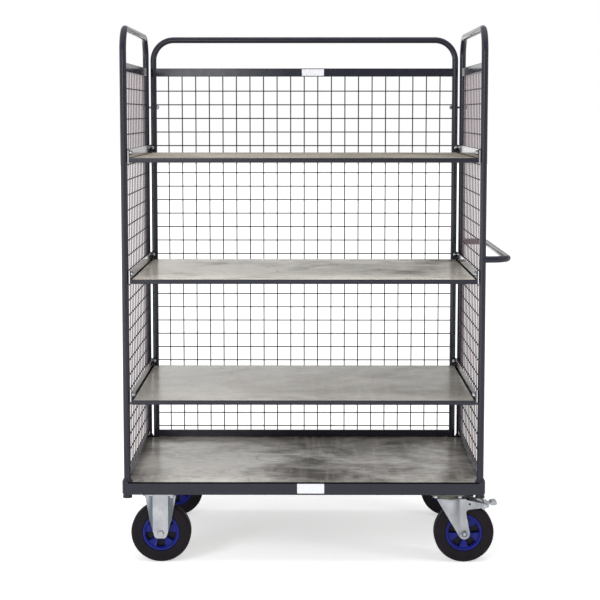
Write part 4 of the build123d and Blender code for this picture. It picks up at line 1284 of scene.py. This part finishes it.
class TROLLEY_OT_wheel_centres(bpy.types.Operator):
    """Moulds the wheel centres: rim, dished web with a ring of pockets on each face, and hub"""

    bl_idname = "trolley.wheel_centres"
    bl_label = "Wheel centres"

    def execute(self, context):
        for wheel in WHEELS:
            node = wheel + "_wheel_centre"
            _, hub_half, rim_outer = half_of(node)
            first = -math.pi / 2 if wheel.endswith("left") else math.pi / 2
            grid, share = self.grid(middle_of(wheel + "_tyre"), rim_outer, hub_half, first)
            piece(
                node + "_moulded", [looped(grid)], [node], "wheel_plastic",
                body=wheel + "_wheel", sharp=50, values={"pocket": share},
            )
        return {"FINISHED"}

    def section(self, rim_outer, hub_half):
        """Radius, half width and face mark along one side, from the bore over the disc to the tyre's seat."""
        size = sizes()
        bore, hub = size.bore_radius, size.hub_radius
        disc, rim_half = size.disc_half, size.rim_half
        rim_inner = rim_outer - size.rim_width
        wall = size.pocket_wall
        start, end = size.pocket_start, size.pocket_end
        edge = 0.001
        foot = 0.0006
        rise = 0.0008
        hub_side = [
            (bore, hub_half - edge), (bore + edge, hub_half), (hub - edge, hub_half), (hub, hub_half - edge),
            (hub + foot, disc + rise),
        ]
        face = np.concatenate([
            np.linspace(start - wall, start + wall, 6),
            np.linspace(start + wall, end - wall, 7)[1:-1],
            np.linspace(end - wall, end + wall, 6),
        ])
        rim_side = [
            (rim_inner - foot, disc), (rim_inner, disc + rise), (rim_inner + foot, rim_half - 2 * foot),
            (rim_inner + 3 * foot, rim_half), (rim_outer - 3 * foot, rim_half),
            (rim_outer - 0.4 * edge, rim_half - edge), (rim_outer, rim_half - 3 * edge),
        ]
        points = np.array([*hub_side, *((radius, disc) for radius in face), *rim_side])
        on_face = np.zeros(len(points))
        on_face[len(hub_side):len(hub_side) + len(face)] = 1
        return points, on_face

    def grid(self, middle, rim_outer, hub_half, first):
        """Sections at warped angles, so that a pocket's slanted sides follow the grid's own lines."""
        size = sizes()
        pockets, wall = size.pockets, size.pocket_wall
        start, end = size.pocket_start, size.pocket_end
        side, on_face = self.section(rim_outer, hub_half)
        radius = np.concatenate([side[:, 0], side[::-1, 0]])[:, None]
        width = np.concatenate([side[:, 1], -side[::-1, 1]])[:, None]
        marked = np.concatenate([on_face, on_face[::-1]])[:, None]
        out = np.clip((radius - start) / (end - start), 0, 1)
        half_width = size.pocket_start_half + out * (size.pocket_end_half - size.pocket_start_half)
        edge = np.arcsin(np.clip(half_width / np.maximum(radius, start), 0, 0.95))
        soft = wall / radius
        half_pitch = math.pi / pockets
        steps = np.linspace(0, 1, 6)
        floor = (edge - soft) * np.linspace(0, 1, 5)[:-1]
        slope = edge - soft + 2 * soft * steps
        spoke = edge + soft + (half_pitch - edge - soft) * steps[1:]
        half = np.concatenate([floor, slope, spoke], axis=1)
        across = np.concatenate([np.ones(floor.shape[1]), 1 - steps, np.zeros(spoke.shape[1])])
        sector = np.concatenate([-half[:, :0:-1], half[:, :-1]], axis=1)
        depth_across = np.concatenate([across[:0:-1], across[:-1]])
        past_start = np.clip((radius - start + wall) / (2 * wall), 0, 1)
        short_of_end = np.clip((end + wall - radius) / (2 * wall), 0, 1)
        depth_along = np.minimum(past_start, short_of_end)
        share = np.tile(marked * self.smooth(depth_along) * self.smooth(depth_across), (1, pockets))
        turns = first + np.arange(pockets) * FULL_TURN / pockets
        angle = (turns[None, :, None] + sector[:, None, :]).reshape(len(radius), -1)
        y = np.sign(width) * (np.abs(width) - share * (size.disc_half - size.web_half))
        spokes = np.stack([radius * np.cos(angle), y, radius * np.sin(angle)], axis=-1)
        return middle + spokes, share

    def smooth(self, share):
        """An S-curve from 0 to 1: 3s^2 - 2s^3."""
        return share * share * (3 - 2 * share)


class TROLLEY_OT_castors(bpy.types.Operator):
    """Softens the edges of the pressed castor pieces and plates them"""

    bl_idname = "trolley.castors"
    bl_label = "Castor pressings"

    def execute(self, context):
        for row in ROWS:
            castor = row + "_right_castor"
            softened(row + "_left_fork", "castor_zinc", "fold_shaded_zinc")
            softened(row + "_right_fork", "castor_zinc", "satin_zinc", castor)
            softened(row + "_right_brake_pedal", "castor_zinc", body=row + "_right_pedal")
            softened(row + "_right_pedal_pin", "castor_zinc", body=castor)
        softened("swivel_top_plates", "castor_zinc", "satin_zinc")
        return {"FINISHED"}


class TROLLEY_OT_fasteners(bpy.types.Operator):
    """Softens the edges of the bolts and nuts and plates them"""

    bl_idname = "trolley.fasteners"
    bl_label = "Bolts and nuts"

    def execute(self, context):
        for node in ("castor_bolts", "castor_nuts", "hoop_bolts", "hoop_nuts"):
            softened(node, "fastener_zinc")
        for part in ("axle_bolt", "axle_nut"):
            softened(f"left_{part}s", "fastener_zinc", "axle_zinc")
            for row in ROWS:
                softened(f"{row}_right_{part}", "fastener_zinc", "swivel_axle_zinc", row + "_right_castor")
        return {"FINISHED"}


class TROLLEY_OT_hidden_pieces(bpy.types.Operator):
    """Gives their finish to the solids that stay as they are, such as channels, lugs, bearings and pins"""

    bl_idname = "trolley.hidden_pieces"
    bl_label = "Inner pieces"

    def execute(self, context):
        for entry in frame["record"]["subparts"]:
            shape = frame["nodes"][entry["node"]]
            if not shape.hide_render:
                shape.data.materials.clear()
                shape.data.materials.append(finish(entry["material_slot"]))
        return {"FINISHED"}


class TROLLEY_OT_labels(bpy.types.Operator):
    """Sticks a blank label on the front rail and on the back panel's top bar"""

    bl_idname = "trolley.labels"
    bl_label = "Blank labels"

    def execute(self, context):
        size = sizes()
        rail_face = corners("base_front_rail")[0][1]
        bar_face = hoop_legs()["back"][0][1] - size.bar_depth / 2
        rail_size = (size.rail_label_length, size.rail_label_height)
        bar_size = (size.bar_label_length, size.bar_label_height)
        self.label("rail_label", rail_size, "base_front_rail", size.rail_label_aside, rail_face)
        self.label("bar_label", bar_size, "hoop_top_bars", size.bar_label_aside, bar_face)
        return {"FINISHED"}

    def label(self, name, size, node, aside, face):
        """A thin rounded plate on a face that looks to the front, halfway up a solid."""
        place = (middle_of("deck_board")[0] + aside, middle_of(node)[2])
        outline = rounded(rectangle(*size), sizes().label_corner) + place
        thickness = sizes().label_thickness
        film = slab(outline, face - thickness, face + thickness / 2, thickness / 3, axes=(0, 2, 1))
        piece(name, [film], look="label")


class TROLLEY_OT_stage(bpy.types.Operator):
    """Sets the floor, the studio light and the camera"""

    bl_idname = "trolley.stage"
    bl_label = "Stage"

    # Name, place, size, watts, tint, and whether it shows in reflections
    softboxes = (
        ("Key softbox", (-3.3, -4.6, 2.7), (1.6, 2.6), 150.0, (0.94, 0.97, 1.0), False),
        ("Front softbox", (-1.2, -5.9, 1.9), (1.4, 1.2), 27.0, (0.94, 0.97, 1.0), True),
        ("Fill softbox", (4.8, -2.6, 2.0), (0.9, 2.6), 70.0, (1.0, 0.98, 0.95), False),
        ("Overhead softbox", (0.0, -0.4, 4.6), (4.0, 3.0), 130.0, (1.0, 1.0, 1.0), False),
    )

    def execute(self, context):
        self.floor()
        self.room()
        for values in self.softboxes:
            self.softbox(*values)
        self.camera()
        context.scene.view_settings.view_transform = "Standard"
        return {"FINISHED"}

    def ray_kinds(self, tree):
        """Whether a ray comes straight from the camera, and whether from a reflection."""
        path = add_node(tree, "ShaderNodeLightPath").outputs
        mirrored = math_node(tree, "MAXIMUM", path["Is Glossy Ray"], path["Is Transmission Ray"])
        return path["Is Camera Ray"], mirrored

    def floor(self):
        """A wide pale disc that shows the trolley's shadow, lifted to white where the camera sees it lit.

        In reflections it glows, more so far away, to the left and on both flanks.
        """
        rim = circle(stage().floor_radius, 96)
        mesh = bpy.data.meshes.new("Floor")
        mesh.from_pydata([(x, y, 0.0) for x, y in rim], [], [list(range(len(rim)))])
        shade = scaled(WHITE, stage().floor_shade)
        material, tree, link = new_material(
            "Floor", Base_Color=shade, Roughness=1.0, Specular_IOR_Level=0.0, Emission_Color=WHITE
        )
        seen, mirrored = self.ray_kinds(tree)
        place = own_place(tree)
        away = vector_node(tree, "LENGTH", place)["Value"]
        side = coordinate(tree, place, "X")
        lift = math_node(tree, "MULTIPLY", seen, spread(tree, away, 1.5, 7.0, 0.5, 1.0))
        far = spread(tree, away, 1.9, 8.0, 0.1, 0.7)
        far_left = math_node(tree, "MULTIPLY", far, spread(tree, side, -2.4, 2.4, 1.9, 0.35))
        flank = spread(tree, math_node(tree, "ABSOLUTE", side), 3.0, 10.0, 0.0, 0.5)
        glow = math_node(tree, "MULTIPLY", mirrored, math_node(tree, "ADD", far_left, flank))
        link("Emission Strength", math_node(tree, "ADD", lift, glow))
        mesh.materials.append(material)
        made = bpy.data.objects.new("Floor", mesh)
        bpy.context.scene.collection.objects.link(made)
        made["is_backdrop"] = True

    def room(self):
        """White where it is seen directly, soft where it only lights.

        In reflections it is bright behind the trolley, above it and on both flanks, and darker elsewhere.
        """
        world = bpy.data.worlds.new("Room")
        world.use_nodes = True
        tree = world.node_tree
        background = tree.nodes["Background"]
        background.inputs["Color"].default_value = WHITE
        seen, mirrored = self.ray_kinds(tree)
        way = add_node(tree, "ShaderNodeTexCoord").outputs["Generated"]
        x, y, z = add_node(tree, "ShaderNodeSeparateXYZ", {0: way}).outputs
        behind = math_node(
            tree, "MULTIPLY", spread(tree, y, 0.55, 0.92, 0.0, 1.0), spread(tree, x, -0.12, 0.12, 1.0, 0.62)
        )
        above = spread(tree, z, 0.3, 0.9, 0.0, 0.7)
        flank = spread(tree, math_node(tree, "ABSOLUTE", x), 0.3, 0.85, 0.0, 0.5)
        aside = math_node(tree, "ADD", spread(tree, x, -0.8, 0.3, 0.55, 0.17), flank)
        glow = math_node(tree, "MAXIMUM", aside, math_node(tree, "MAXIMUM", behind, above))
        strength = mix_values(tree, seen, mix_values(tree, mirrored, stage().room_light, glow), 1.0)
        tree.links.new(strength, background.inputs["Strength"])
        bpy.context.scene.world = world

    def softbox(self, name, place, size, power, tint, mirrored):
        """A rectangular light that faces the trolley's middle and stays out of the picture."""
        light = bpy.data.lights.new(name, "AREA")
        light.shape = "RECTANGLE"
        light.size, light.size_y = size
        light.energy = power
        light.color = tint
        made = bpy.data.objects.new(name, light)
        made.location = place
        middle = (cad_box[0] + cad_box[1]) / 2
        made.rotation_euler = (middle - made.location).to_track_quat("-Z", "Y").to_euler()
        made.visible_camera = False
        made.visible_glossy = mirrored
        bpy.context.scene.collection.objects.link(made)

    def camera(self):
        """A camera a little higher than the top shelf, almost square to the open front."""
        values = stage()
        lens = bpy.data.cameras.new("Camera")
        lens.sensor_width = values.camera_sensor
        lens.lens = values.camera_lens
        lens.shift_y = values.camera_shift
        made = bpy.data.objects.new("Camera", lens)
        made.location = (values.camera_side, values.camera_back, values.camera_height)
        made.rotation_euler = (math.pi / 2 - values.camera_pitch, 0.0, values.camera_turn)
        bpy.context.scene.collection.objects.link(made)
        bpy.context.scene.camera = made


STEPS = (
    TROLLEY_OT_hoops,
    TROLLEY_OT_hoop_bars,
    TROLLEY_OT_mesh,
    TROLLEY_OT_base,
    TROLLEY_OT_deck,
    TROLLEY_OT_shelves,
    TROLLEY_OT_shelf_bolts,
    TROLLEY_OT_tyres,
    TROLLEY_OT_wheel_centres,
    TROLLEY_OT_castors,
    TROLLEY_OT_fasteners,
    TROLLEY_OT_hidden_pieces,
    TROLLEY_OT_labels,
    TROLLEY_OT_stage,
)


class TROLLEY_PT_build(bpy.types.Panel):
    """Lists the steps that build the trolley"""

    bl_idname = "TROLLEY_PT_build"
    bl_label = "Shelf trolley"
    bl_space_type = "VIEW_3D"
    bl_region_type = "UI"
    bl_category = "Trolley"

    def draw(self, context):
        for step in STEPS:
            self.layout.operator(step.bl_idname)


GROUPS_OF_VALUES = {
    "trolley_sizes": TrolleySizes,
    "trolley_colours": TrolleyColours,
    "trolley_stage": TrolleyStage,
}


def register():
    for name, group in GROUPS_OF_VALUES.items():
        bpy.utils.register_class(group)
        setattr(bpy.types.Scene, name, PointerProperty(type=group))
    for step in STEPS:
        bpy.utils.register_class(step)
    bpy.utils.register_class(TROLLEY_PT_build)


def unregister():
    bpy.utils.unregister_class(TROLLEY_PT_build)
    for step in reversed(STEPS):
        bpy.utils.unregister_class(step)
    for name, group in GROUPS_OF_VALUES.items():
        delattr(bpy.types.Scene, name)
        bpy.utils.unregister_class(group)


def main():
    """Builds everything in order."""
    register()
    for step in STEPS:
        getattr(bpy.ops.trolley, step.bl_idname.split(".")[1])()


if __name__ == "__main__":
    main()
